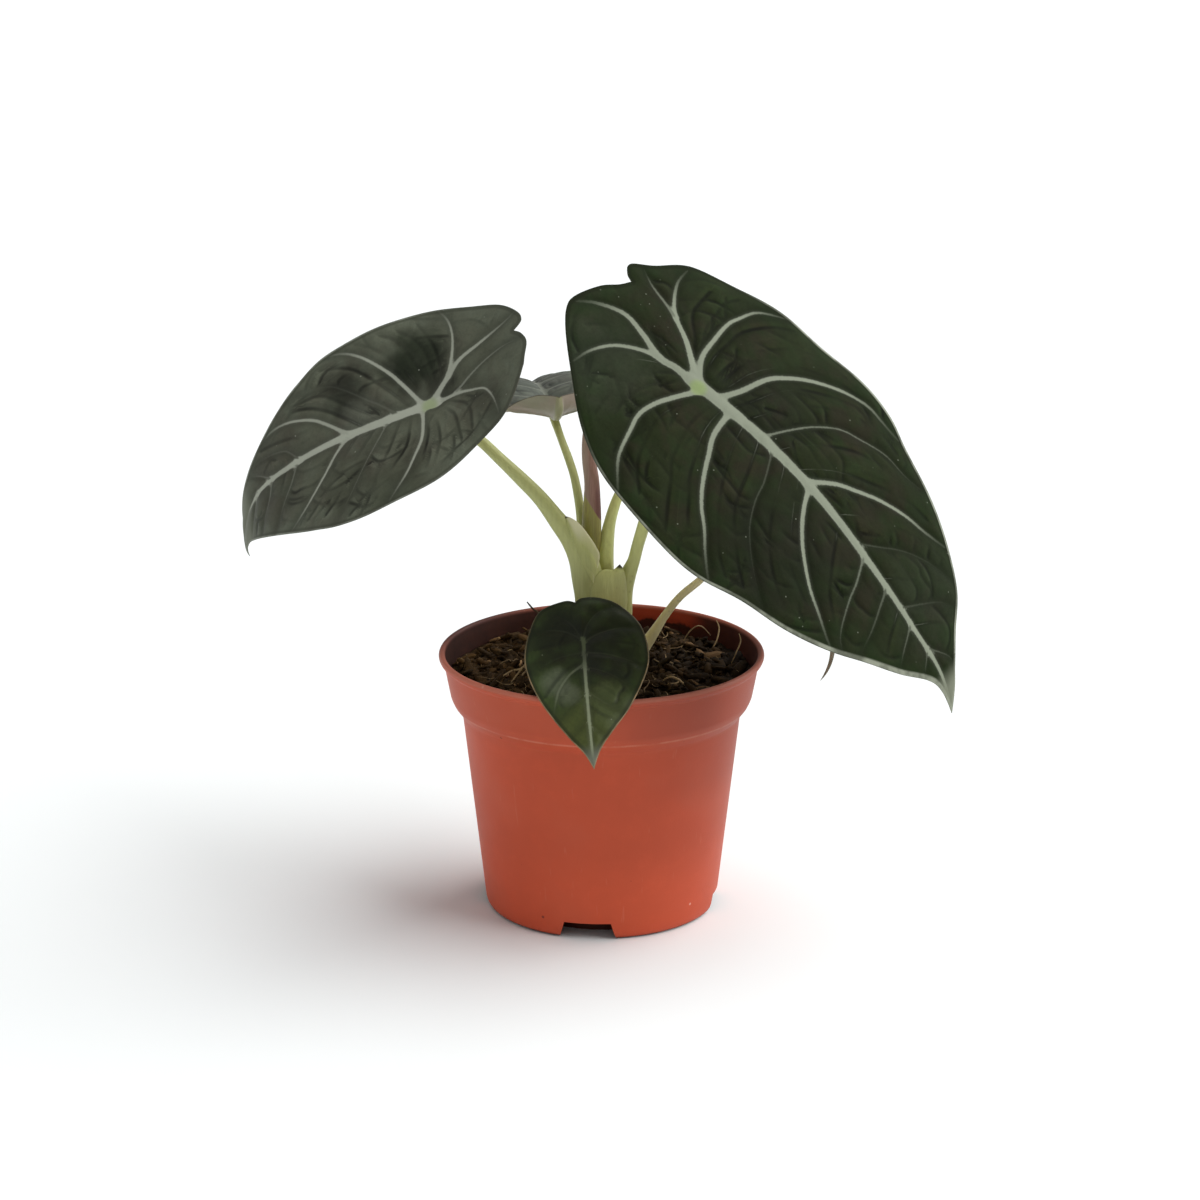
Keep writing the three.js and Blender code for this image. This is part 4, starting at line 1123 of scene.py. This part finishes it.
def new_leaf_finish(settings):
    """Reddish brown at the rolled top, olive lower down, with lengthwise lines and a pale free edge."""
    finish = Finish("new_leaf")
    place = finish.place()
    x, _, height = place.parts()
    lines = place.scaled(1, 1, 0.08).grain(1300.0, 2.0, 0.6)
    patches = place.grain(90.0, 2.0)
    top = (height + x * 1.62 + (patches - 0.5) * 0.002).above(0.146, 0.1468)
    shaded = top * x.above(-0.0032, -0.0014) * height.below(0.155, 0.166)
    colour = coated(
        paint(152, 146, 80),
        (top, opaque(settings.new_leaf)),
        (top * x.below(-0.0056, -0.0036) * 0.5, paint(150, 138, 120)),
        (shaded * 0.85, paint(104, 62, 60)),
        (lines.above(0.4, 0.65) * 0.3, paint(106, 86, 62)),
        (finish.number("past_edge").below(0.02, 0.07) * 0.4, paint(160, 148, 120)))
    return finish.done(
        emboss=(lines, 0.0002), Specular_IOR_Level=0.35,
        Base_Color=colour, Roughness=0.5 + patches * 0.12)


# ---------------------------------------------------------------- pot


def rounded(corners, steps=5):
    """A profile of (radius, height, rounding) corners with each corner drawn as a short parabola."""
    corners = np.array(corners, float)
    points = [corners[:1, :2]]
    for before, corner, after in zip(corners, corners[1:], corners[2:]):
        place, size = corner[:2], corner[2]
        enter, leave = (other[:2] - place for other in (before, after))
        enter = place + enter * min(size / np.linalg.norm(enter), 0.45)
        leave = place + leave * min(size / np.linalg.norm(leave), 0.45)
        s = np.linspace(0, 1, steps)[:, None]
        points.append((1 - s)**2 * enter + 2 * s * (1 - s) * place + s**2 * leave)
    return np.concatenate([*points, corners[-1:, :2]])


def notch_turns():
    """Where round the pot each notch is, in radians."""
    return math.radians(NOTCH["turn"]) + 2 * np.pi / NOTCH["count"] * np.arange(NOTCH["count"])


def pot_grid():
    """The pot's closed wall, turned about its axis, with a notch under each quarter of its foot.

    Each column follows the plain profile or the notched one, place for place, and one of each stands at
    every side of a notch, so the faces between them are the notch's side walls. The sides lie at the arc
    sine of the notch's half width over the radius; the half width falls evenly from floor to notch top.
    """
    side = rounded(POT_SIDE)
    outer = len(FOOT) + len(side) // 2
    profiles = [np.concatenate([[(0, 0)], foot, side, floor, [(0, FLOOR_TOP)]])
                for foot, floor in ((FOOT, FLOOR), (FOOT_NOTCHED, FLOOR_NOTCHED))]
    sides = []
    for profile in profiles:
        radius, height = profile.T
        spare = np.where((np.arange(len(profile)) > outer) & (height < NOTCH["followed"]), NOTCH["wall"], 0)
        fall = np.clip(height / (NOTCH["height"] + spare), 0, 1)
        half = spare + NOTCH["half_bottom"] + (NOTCH["half_top"] - NOTCH["half_bottom"]) * fall
        sides.append(np.arcsin(half / np.maximum(radius, NOTCH["inner"] - spare)))
    quarter = 2 * np.pi / NOTCH["count"]
    plain_share, notch_share = np.linspace(0, 1, 60), np.linspace(-1, 1, 16)
    plain_angle = sides[0][:, None] + (quarter - 2 * sides[0][:, None]) * plain_share
    angle = np.concatenate([sides[1][:, None] * notch_share, plain_angle], axis=1)
    radius, height = (np.concatenate([
        np.repeat(profiles[1][:, k:k + 1], len(notch_share), axis=1),
        np.repeat(profiles[0][:, k:k + 1], len(plain_share), axis=1)], axis=1) for k in (0, 1))
    angle = np.concatenate([angle + turn for turn in notch_turns()], axis=1)
    radius, height = (np.tile(values, (1, NOTCH["count"])) for values in (radius, height))
    return about_axis(radius, angle, height)


def slot_cutters():
    """A round-ended bar through the top of each notch: an oval carried upwards, [copy, row, ring, xyz]."""
    angle = round_angles(24)
    straight = DRAIN["width"] - DRAIN["depth"]
    across = np.cos(angle) * DRAIN["depth"] / 2
    along = np.sin(angle) * DRAIN["depth"] / 2 + np.sign(np.sin(angle)) * straight / 2
    height = np.repeat([DRAIN["bottom"], DRAIN["top"]], 2)[:, None]
    swell = np.array([0, 1, 1, 0])[:, None]
    out = DRAIN["radius"] + across * swell
    sideways = along * swell
    return np.stack([about_axis(out, turn, height) + about_axis(sideways, turn + np.pi / 2, 0.0)
                     for turn in notch_turns()])


def pot_mesh(finish):
    """The pot with its drain slots cut through, and its corners left crisp."""
    bars = slot_cutters()
    used, quads, triangles = skin(bars)
    cutter_mesh = bpy.data.meshes.new("slots")
    cutter_mesh.from_pydata((bars.reshape(-1, 3)[used] * MM).tolist(), [],
                            quads.tolist() + triangles.tolist())
    recalculate(cutter_mesh)
    cutter = placed("slots", cutter_mesh)
    pot = add_piece("pot_wall", pot_grid(), finish, replaces=["pot"])
    slots = pot.modifiers.new("slots", "BOOLEAN")
    slots.operation, slots.solver, slots.object = "DIFFERENCE", "EXACT", cutter
    whole = bpy.data.meshes.new_from_object(pot.evaluated_get(bpy.context.evaluated_depsgraph_get()))
    pot.modifiers.clear()
    pot.data = whole
    bpy.data.objects.remove(cutter)
    whole.set_sharp_from_angle(angle=math.radians(CRISP_FROM))


def recalculate(mesh):
    """Turns a mesh's faces outwards."""
    work = bmesh.new()
    work.from_mesh(mesh)
    bmesh.ops.recalc_face_normals(work, faces=work.faces)
    work.to_mesh(mesh)
    work.free()


# Small marks on the pot: where, how wide in mm, and their colour.
POT_MARKS = [
    ((-36.2, -38.5, 76.5), 0.9, paint(88, 34, 24)), ((-42.4, -41.8, 96.9), 0.9, paint(214, 150, 130)),
    ((-21.4, -38.1, 7.2), 0.9, paint(96, 40, 30)), ((32.5, -29.4, 8.9), 0.8, paint(214, 158, 140))]


def pot_finish(settings):
    """Satin orange plastic: cloudy in the mass, dusty in places, with fine scuffs and a few marks."""
    finish = Finish("pot_plastic")
    place = finish.place()
    x, y, height = place.parts()
    radius = (x * x + y * y).root()
    orange = opaque(settings.plastic)
    clouds = place.grain(26.0, 3.0)
    mottle = place.grain(160.0, 4.0, 0.6)
    dusty = height.above(0.066, 0.088) * 0.5 + clouds.below(0.35, 0.5) * 0.3
    scuffs = place.scaled(1, 1, 0.1).grain(520.0, 2.0, 0.7).above(0.66, 0.76)
    specks = place.cells(130.0).below(0.02, 0.05) * mottle.above(0.5, 0.52)
    # Painted shadow of the big leaf on the front right of the collar.
    leaf_shadow = height.above(0.077, 0.082) * x.above(-0.012, 0.02) * x.below(0.036, 0.05) * y.below(-0.03, 0.0)
    # Painted highlight along the edge of the step under the collar.
    step = abs(height - COLLAR_STEP * MM).below(0.0002, 0.0006) * mottle.above(0.3, 0.6)
    plastic = coated(
        orange,
        (clouds.above(0.3, 0.7) * 0.55, shade(orange, 0.86)),
        (mottle.above(0.45, 0.75) * 0.3, shade(orange, 1.1)),
        (dusty * 0.4, paint(172, 92, 70)),
        (scuffs * 0.16, paint(205, 132, 108)),
        (specks * 0.5, paint(92, 40, 28)),
        *((place.near([v * MM for v in centre], size * MM).above(0.1, 0.7) * 0.85, mark)
          for centre, size, mark in POT_MARKS),
        (leaf_shadow * 0.5, paint(138, 60, 42)),
        # Painted highlight round the top of the lip.
        (height.above(0.0957, 0.0967) * 0.6, paint(192, 122, 102)),
        (step * 0.3, paint(214, 150, 124)))
    # Painted light and shade: the plastic is lighter to the left and near the foot, darker to the right,
    # darker on the collar's left and the upper body's right, and a little lighter on the collar.
    plastic = plastic.lit(0.94 - x * 5.5 - height.above(0.07, 0.08) * x.below(-0.04, 0.0) * 0.2
                          - height.above(0.045, 0.06) * x.above(0.0, 0.03) * 0.1
                          + height.below(0.015, 0.04) * 0.15 + height.above(0.077, 0.081) * 0.06)

    # The inside lies nearer the axis than a cone halfway through the wall, which widens by 0.145 a height.
    inside = (radius - height * 0.145).below(0.0434, 0.0438) * height.above(0.082, 0.084)
    # The inside is dark red-brown: painted shade with mottled stain over it, both stronger to the left, and a
    # bare band high on the back right wall keeps a brighter red.
    stain_and_shade = (mottle.above(0.25, 0.6) * 0.5 + (0.5 - x * 12.0)).most(0.0)
    bare_band = (height + (mottle - 0.5) * 0.006).above(0.0916, 0.093) * y.above(0.0, 0.02)
    walls = coated(
        paint(70, 28, 14),
        (stain_and_shade.above(0.1, 1.0), mottle.blend(paint(34, 14, 7), paint(70, 31, 17))),
        (bare_band * abs(x - 0.0225).below(0.0085, 0.0185) * 0.9, paint(164, 60, 32)))
    # The top of the wall on the left takes the dark colour of the inside.
    back_left = height.above(0.0945, 0.0962) * x.below(-0.045, -0.005) * y.above(-0.02, 0.02)
    # Painted shade under the pot and inside its foot.
    below = height.below(0.009, 0.016) * radius.below(0.0415, 0.0427)
    colour = coated(
        plastic,
        (back_left * 0.95, paint(78, 28, 15)),
        (inside, walls),
        (below * 0.9, paint(24, 15, 11)))
    return finish.done(
        emboss=(place.grain(2600.0, 2.0, 0.6) * 0.6 + mottle * 0.4, 0.00006), Specular_IOR_Level=0.22,
        Base_Color=colour, Roughness=0.42 + clouds * 0.14 + scuffs * 0.12 + inside * 0.35)


# ---------------------------------------------------------------- soil


def soil_height(x, y):
    """Height of the soil: crossing ripples about its level, with coarse and fine noise on them."""
    lumps = (np.sin(x / 4.3 + 0.6) * np.sin(y / 3.9 + 1.9) + 0.8 * np.sin(x / 7.1 - y / 5.3 + 2.2)
             + 0.5 * np.sin(x / 2.9 + y / 8.3))
    spot = np.stack([x, y, 0 * x], -1)
    rough = 1.5 * billow(spot, 6.5, seed=2) + 0.9 * billow(spot, 2.2, seed=5, octaves=2)
    rim = soft_step(np.hypot(x, y), 50, 55)
    return SOIL_LEVEL + (0.8 * lumps + rough) * (1 - 0.5 * rim) - 0.8 * rim


def soil_heap(finish):
    """The soil as one body: its rough top on rings about the axis, then down the pot's wall to its floor."""
    rings, ring = 110, 330
    angle = round_angles(ring)
    top = about_axis(np.linspace(0, SOIL_RADIUS, rings)[:, None], angle, 0.0)
    top[..., 2] = soil_height(top[..., 0], top[..., 1])
    radius, height = np.array(SOIL_SIDE).T[..., None]
    side = about_axis(radius, angle, height)
    grid = np.concatenate([top, side])
    return add_piece("soil_heap", grid, finish, replaces=["soil"],
                     fields={"tone": np.full((*grid.shape[:2], 1), 0.3)})


def rolled_about(points, angles):
    """Each copy of some points turned about X, then Y, then Z by its own three angles."""
    for axis, turn in enumerate(angles.T):
        first, second = [(1, 2), (2, 0), (0, 1)][axis]
        cos, sin = np.cos(turn)[:, None, None], np.sin(turn)[:, None, None]
        a, b = points[..., first].copy(), points[..., second].copy()
        points[..., first], points[..., second] = a * cos - b * sin, a * sin + b * cos
    return points


def scattered(rng, count, inner, outer):
    """Places spread evenly over a ring of ground."""
    radius = np.sqrt(rng.uniform(inner**2, outer**2, count))
    angle = rng.uniform(0, 2 * np.pi, count)
    return radius * np.cos(angle), radius * np.sin(angle)


def soil_crumbs(finish, count):
    """Chips and lumps on the soil: small balls, drawn out, flattened, knobbly and turned every way."""
    rng = np.random.default_rng(11)
    x, y = scattered(rng, count, 9, SOIL_RADIUS - 2.2)
    size = 0.5 + 2.6 * rng.random(count)**2.2
    rows, ring = 5, 8
    polar = np.linspace(0, np.pi, rows)[:, None]
    ball = about_axis(np.sin(polar), round_angles(ring), np.cos(polar))
    stretch = rng.uniform([0.9, 0.4, 0.25], [2.4, 0.8, 0.55], (count, 1, 1, 3)) * size[:, None, None, None]
    knobs = 1 + 0.35 * noise(ball[None] * 1.3 + 9 * rng.random((count, 1, 1, 3)), 0.8, seed=3)
    turns = rng.uniform([-0.7, -0.7, 0], [0.7, 0.7, 6.3], (count, 3))
    crumbs = rolled_about(ball[None] * stretch * knobs[..., None], turns)
    x = x * np.minimum(1, (SOIL_RADIUS - 1 - size) / np.hypot(x, y))
    y = y * np.minimum(1, (SOIL_RADIUS - 1 - size) / np.hypot(x, y))
    crumbs += np.stack([x, y, soil_height(x, y) + 0.25 * size], -1)[:, None, None]
    tone = np.broadcast_to(rng.random((count, 1, 1, 1)), (*crumbs.shape[:3], 1))
    return add_piece("soil_crumbs", crumbs, finish, fields={"tone": tone})


def soil_fibres(finish, count):
    """Fibres and rootlets: thin rods along curves that wander over the soil and lift at their ends."""
    rng = np.random.default_rng(23)
    x, y = scattered(rng, count, 12, SOIL_RADIUS - 6)
    rows, ring = 12, 5
    share = np.linspace(0, 1, rows)
    heading = rng.uniform(0, 6.3, (count, 1)) + rng.uniform(-2, 2, (count, 1)) * share + 0.6 * np.sin(
        rng.uniform(3, 9, (count, 1)) * share + rng.uniform(0, 6, (count, 1)))
    step = rng.uniform(4, 15, (count, 1)) / rows
    px = x[:, None] + np.cumsum(np.cos(heading) * step, axis=1)
    py = y[:, None] + np.cumsum(np.sin(heading) * step, axis=1)
    inside = np.minimum(1, (SOIL_RADIUS - 1.5) / np.hypot(px, py))
    px, py = px * inside, py * inside
    rise = rng.uniform(-0.5, 2.6, (count, 1)) * share**2 + 0.5
    ground = soil_height(px, py)
    path = np.stack([px, py, ground * 0.5 + ground.mean(1)[:, None] * 0.5 + rise], -1)
    return fibre_piece("soil_fibres", path, rng.uniform(0.1, 0.28, count), rng.random(count), finish, ring)


def fibre_piece(name, path, radius, tone, finish, ring=6):
    """Thin closed rods along many paths at once, [copy, place, xyz], tapering to both ends."""
    tangent = np.gradient(path, axis=1)
    tangent /= np.linalg.norm(tangent, axis=-1, keepdims=True)
    across = np.cross(tangent, np.array([0.1, 0.2, 1.0]))
    across /= np.linalg.norm(across, axis=-1, keepdims=True)
    upward = np.cross(tangent, across)
    angle = round_angles(ring)[:, None]
    taper = np.sin(np.pi * np.linspace(0.06, 0.94, path.shape[1]))[:, None, None]**0.5
    reach = radius[:, None, None, None] * taper
    body = path[:, :, None] + reach * (
        np.cos(angle) * across[:, :, None] + np.sin(angle) * upward[:, :, None])
    first, last = (np.repeat(path[:, end, None, None], ring, axis=2) for end in (0, -1))
    grid = np.concatenate([first, body, last], axis=1)
    tones = np.broadcast_to(tone[:, None, None, None], (*grid.shape[:3], 1))
    return add_piece(name, grid, finish, fields={"tone": tones})


def soil_finish(settings):
    """Damp peat: from near black to mid brown by each crumb's tone, with paler fibres and specks."""
    finish = Finish("soil")
    place = finish.place()
    tone = finish.number("tone")
    brown = opaque(settings.soil)
    patches = place.grain(180.0, 4.0, 0.65)
    fine = place.grain(900.0, 3.0, 0.7)
    colour = coated(
        shade(brown, 0.45),
        (patches.above(0.35, 0.68), brown),
        (fine.above(0.5, 0.8) * 0.6, shade(brown, 1.7)),
        (tone.above(0.55, 0.85) * 0.7, shade(brown, 1.9)),
        (tone.above(0.93, 0.97) * 0.8, paint(150, 118, 84)))
    # Painted light: the soil is lighter to the left and darker to the right.
    colour = colour.lit(1.3 - place.parts()[0] * 14.0)
    return finish.done(
        emboss=(fine * 0.6 + patches * 0.4, 0.0008), Specular_IOR_Level=0.12,
        Base_Color=colour, Roughness=0.85 - patches * 0.15)


def fibre_finish():
    """Dry root: tan to pale straw by tone, mottled along its length."""
    finish = Finish("root_fibre")
    place = finish.place()
    mottle = place.grain(420.0, 3.0)
    colour = coated(
        paint(54, 38, 24),
        (finish.number("tone"), paint(192, 164, 122)),
        (mottle.above(0.45, 0.7) * 0.5, paint(92, 66, 42)))
    return finish.done(emboss=(mottle, 0.0002), Specular_IOR_Level=0.3,
                       Base_Color=colour, Roughness=0.75 + mottle * 0.1)


def crown_finish():
    """The buried crown: corky brown with rings."""
    finish = Finish("crown_skin")
    place = finish.place()
    rings = (place.parts()[2] * 2600.0 + place.grain(120.0) * 5.0).wave()
    mottle = place.grain(260.0, 4.0, 0.6)
    colour = coated(
        paint(88, 74, 46),
        (mottle.above(0.3, 0.7), paint(132, 118, 78)),
        (rings.above(0.3, 0.9) * 0.5, paint(70, 54, 34)))
    return finish.done(emboss=(mottle, 0.0005), Base_Color=colour, Roughness=0.75 + mottle * 0.15)


# ---------------------------------------------------------------- settings

COLOUR = dict(subtype="COLOR", size=3, min=0, max=1)
LENGTH = dict(subtype="DISTANCE", unit="LENGTH")


class LeafSettings(PropertyGroup):
    thickness: FloatProperty(
        name="Thickness", description="Thickness of a blade beside its midrib",
        default=0.0006, min=0.0003, max=0.0012, **LENGTH)
    puff: FloatProperty(
        name="Puff", description="Rise of the panels between the veins",
        default=0.0011, min=0, max=0.003, **LENGTH)
    dark: FloatVectorProperty(
        name="Dark leaf", description="Panels of the large leaf",
        default=paint(31, 37, 18)[:3], **COLOUR)
    # Painted sheen: the left leaf's panels are lighter and greyer than the large leaf's.
    grey: FloatVectorProperty(
        name="Grey leaf", description="Panels of the left leaf",
        default=paint(90, 93, 78)[:3], **COLOUR)
    young: FloatVectorProperty(
        name="Young leaf", description="Panels of the small front leaf",
        default=paint(32, 36, 20)[:3], **COLOUR)
    vein: FloatVectorProperty(
        name="Veins", description="Main veins of the leaves",
        default=paint(132, 138, 121)[:3], **COLOUR)


class StalkSettings(PropertyGroup):
    green: FloatVectorProperty(
        name="Stalks", description="Skin of the leaf stalks",
        default=paint(190, 193, 125)[:3], **COLOUR)
    new_leaf: FloatVectorProperty(
        name="New leaf", description="Upper part of the rolled new leaf",
        default=paint(150, 114, 100)[:3], **COLOUR)


class PotSettings(PropertyGroup):
    plastic: FloatVectorProperty(
        name="Plastic", description="Colour of the pot",
        default=paint(190, 78, 48)[:3], **COLOUR)
    soil: FloatVectorProperty(
        name="Soil", description="Colour of damp soil",
        default=paint(56, 40, 20)[:3], **COLOUR)
    crumbs: IntProperty(name="Crumbs", description="Lumps on the soil", default=1500, min=0, max=3000)
    fibres: IntProperty(name="Fibres", description="Loose fibres on the soil", default=90, min=0, max=600)


class StudioSettings(PropertyGroup):
    key: FloatProperty(
        name="Key light", description="Strength of the soft light from the right", default=3.9, min=0)
    softness: FloatProperty(
        name="Softness", description="Width of the key light, as seen from the plant",
        default=math.radians(80), min=0, max=math.pi, subtype="ANGLE", unit="ROTATION")
    ambient: FloatProperty(
        name="Ambient", description="Strength of the even light all round", default=0.37, min=0, max=2)
    floor: FloatVectorProperty(
        name="Floor", description="Colour of the floor",
        default=(0.9, 0.925, 0.925), **COLOUR)


# ---------------------------------------------------------------- operators

# The studio, in metres and degrees: the floor's radius, the key light's direction as seen from the plant,
# and the camera's place, tilt up from straight down, lens and sensor in mm, and furthest sight.
FLOOR_RADIUS = 30
KEY_FROM = (0.98, 0.1, 0.9)
CAMERA_AT = (-0.00055, -1.332, 0.5239)
CAMERA_TILT = 73
CAMERA_LENS = 114
CAMERA_SENSOR = 36
CAMERA_SIGHT = 200


class ALOCASIA_OT_blades(Operator):
    """Make the six leaf blades"""
    bl_idname = "alocasia.blades"
    bl_label = "Leaf Blades"

    def execute(self, context):
        leaf = context.scene.alocasia_leaf
        finishes = {name: blade_finish(name, *look) for name, look in {
            "blade_dark": (opaque(leaf.dark), paint(37, 35, 23), paint(31, 42, 20),
                           opaque(leaf.vein), 1.0, 0.04, 0.6),
            # The left leaf: painted sheen makes its colours lighter and greyer than the large leaf's.
            "blade_grey": (opaque(leaf.grey), paint(86, 84, 72), paint(96, 101, 86),
                           paint(182, 186, 170), 0.9, 0.13, 0.55),
            "blade_young": (opaque(leaf.young), paint(38, 40, 18), paint(52, 66, 30),
                            paint(158, 166, 136), 0.8, 0.25, 0.38),
            "blade_back": (paint(84, 90, 80), paint(78, 78, 70), paint(96, 102, 88),
                           paint(128, 132, 118), 0.55, 0.3, 0.5),
        }.items()}
        for name, blade in BLADES.items():
            blade_mesh(name, leaf, finishes[blade.get("own_finish", blade["finish"])])
        return {"FINISHED"}


class ALOCASIA_OT_stalks(Operator):
    """Make the leaf stalks and the thin edges of their sheaths"""
    bl_idname = "alocasia.stalks"
    bl_label = "Stalks"

    def execute(self, context):
        finish = stalk_finish(context.scene.alocasia_stalk)
        for name in STALKS:
            stalk_mesh(name, finish)
        for name in SHEATHS:
            membrane(name, finish)
        return {"FINISHED"}


class ALOCASIA_OT_new_leaf(Operator):
    """Make the rolled new leaf"""
    bl_idname = "alocasia.new_leaf"
    bl_label = "New Leaf"

    def execute(self, context):
        new_leaf_mesh(new_leaf_finish(context.scene.alocasia_stalk))
        return {"FINISHED"}


class ALOCASIA_OT_pot(Operator):
    """Make the pot"""
    bl_idname = "alocasia.pot"
    bl_label = "Pot"

    def execute(self, context):
        pot_mesh(pot_finish(context.scene.alocasia_pot))
        return {"FINISHED"}


class ALOCASIA_OT_soil(Operator):
    """Make the soil with its crumbs, fibres and roots, and finish the buried crown"""
    bl_idname = "alocasia.soil"
    bl_label = "Soil"

    def execute(self, context):
        pot = context.scene.alocasia_pot
        soil = soil_finish(pot)
        soil_heap(soil)
        soil_crumbs(soil, pot.crumbs)
        fibre = fibre_finish()
        soil_fibres(fibre, pot.fibres)
        knots, radius, tone = zip(*ROOTS)
        paths = np.stack([spline(path, 14) for path in knots])
        fibre_piece("soil_roots", paths, np.array(radius), np.array(tone), fibre)
        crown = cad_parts["crown"].data
        crown.materials.clear()
        crown.materials.append(crown_finish())
        return {"FINISHED"}


class ALOCASIA_OT_studio(Operator):
    """Make the floor, the lights and the camera"""
    bl_idname = "alocasia.studio"
    bl_label = "Studio"

    def execute(self, context):
        studio = context.scene.alocasia_studio
        rim = about_axis(FLOOR_RADIUS, round_angles(64), 0.0)
        mesh = bpy.data.meshes.new("floor")
        mesh.from_pydata(rim.tolist(), [], [list(range(len(rim)))])
        mesh.materials.append(Finish("floor").done(
            Base_Color=opaque(studio.floor), Roughness=0.9, Specular_IOR_Level=0.1))
        floor = placed("floor", mesh)

        world = bpy.data.worlds.new("studio")
        world.use_nodes = True
        background = world.node_tree.nodes["Background"]
        background.inputs["Color"].default_value = (1, 1, 1, 1)
        background.inputs["Strength"].default_value = studio.ambient
        context.scene.world = world
        context.scene.view_settings.view_transform = "Standard"

        light = bpy.data.lights.new("key", "SUN")
        light.energy, light.angle = studio.key, studio.softness
        placed("key", light).rotation_euler = mathutils.Vector(KEY_FROM).to_track_quat("Z", "Y").to_euler()

        camera = bpy.data.cameras.new("camera")
        camera.lens, camera.sensor_width, camera.clip_end = CAMERA_LENS, CAMERA_SENSOR, CAMERA_SIGHT
        eye = placed("camera", camera)
        eye.location = CAMERA_AT
        eye.rotation_euler = (math.radians(CAMERA_TILT), 0, 0)
        context.scene.camera = eye
        return {"FINISHED"}


class ALOCASIA_PT_sidebar(Panel):
    """Lists the pieces and their settings"""
    bl_idname = "ALOCASIA_PT_sidebar"
    bl_label = "Potted Alocasia"
    bl_space_type = "VIEW_3D"
    bl_region_type = "UI"
    bl_category = "Alocasia"

    def draw(self, context):
        for title, key, settings, pieces in PANEL_ROWS:
            box = self.layout.box()
            box.label(text=title)
            group = getattr(context.scene, key)
            for setting in settings:
                box.prop(group, setting)
            for piece in pieces:
                box.operator(piece.bl_idname)


PANEL_ROWS = [
    ("Leaves", "alocasia_leaf", ("thickness", "puff", "dark", "grey", "young", "vein"),
     (ALOCASIA_OT_blades,)),
    ("Stalks", "alocasia_stalk", ("green", "new_leaf"), (ALOCASIA_OT_stalks, ALOCASIA_OT_new_leaf)),
    ("Pot", "alocasia_pot", ("plastic", "soil", "crumbs", "fibres"), (ALOCASIA_OT_pot, ALOCASIA_OT_soil)),
    ("Studio", "alocasia_studio", ("key", "softness", "ambient", "floor"), (ALOCASIA_OT_studio,)),
]
GROUPS = {"alocasia_leaf": LeafSettings, "alocasia_stalk": StalkSettings,
          "alocasia_pot": PotSettings, "alocasia_studio": StudioSettings}
OPERATORS = (ALOCASIA_OT_pot, ALOCASIA_OT_soil, ALOCASIA_OT_stalks, ALOCASIA_OT_new_leaf,
             ALOCASIA_OT_blades, ALOCASIA_OT_studio)


def register():
    for each in (*GROUPS.values(), *OPERATORS, ALOCASIA_PT_sidebar):
        bpy.utils.register_class(each)
    for key, group in GROUPS.items():
        setattr(bpy.types.Scene, key, PointerProperty(type=group))


def unregister():
    for key in GROUPS:
        delattr(bpy.types.Scene, key)
    for each in (ALOCASIA_PT_sidebar, *OPERATORS, *GROUPS.values()):
        bpy.utils.unregister_class(each)


def main():
    """Makes the pot, soil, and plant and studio."""
    register()
    bpy.ops.alocasia.pot()
    bpy.ops.alocasia.soil()
    bpy.ops.alocasia.stalks()
    bpy.ops.alocasia.new_leaf()
    bpy.ops.alocasia.blades()
    bpy.ops.alocasia.studio()


if __name__ == "__main__":
    main()
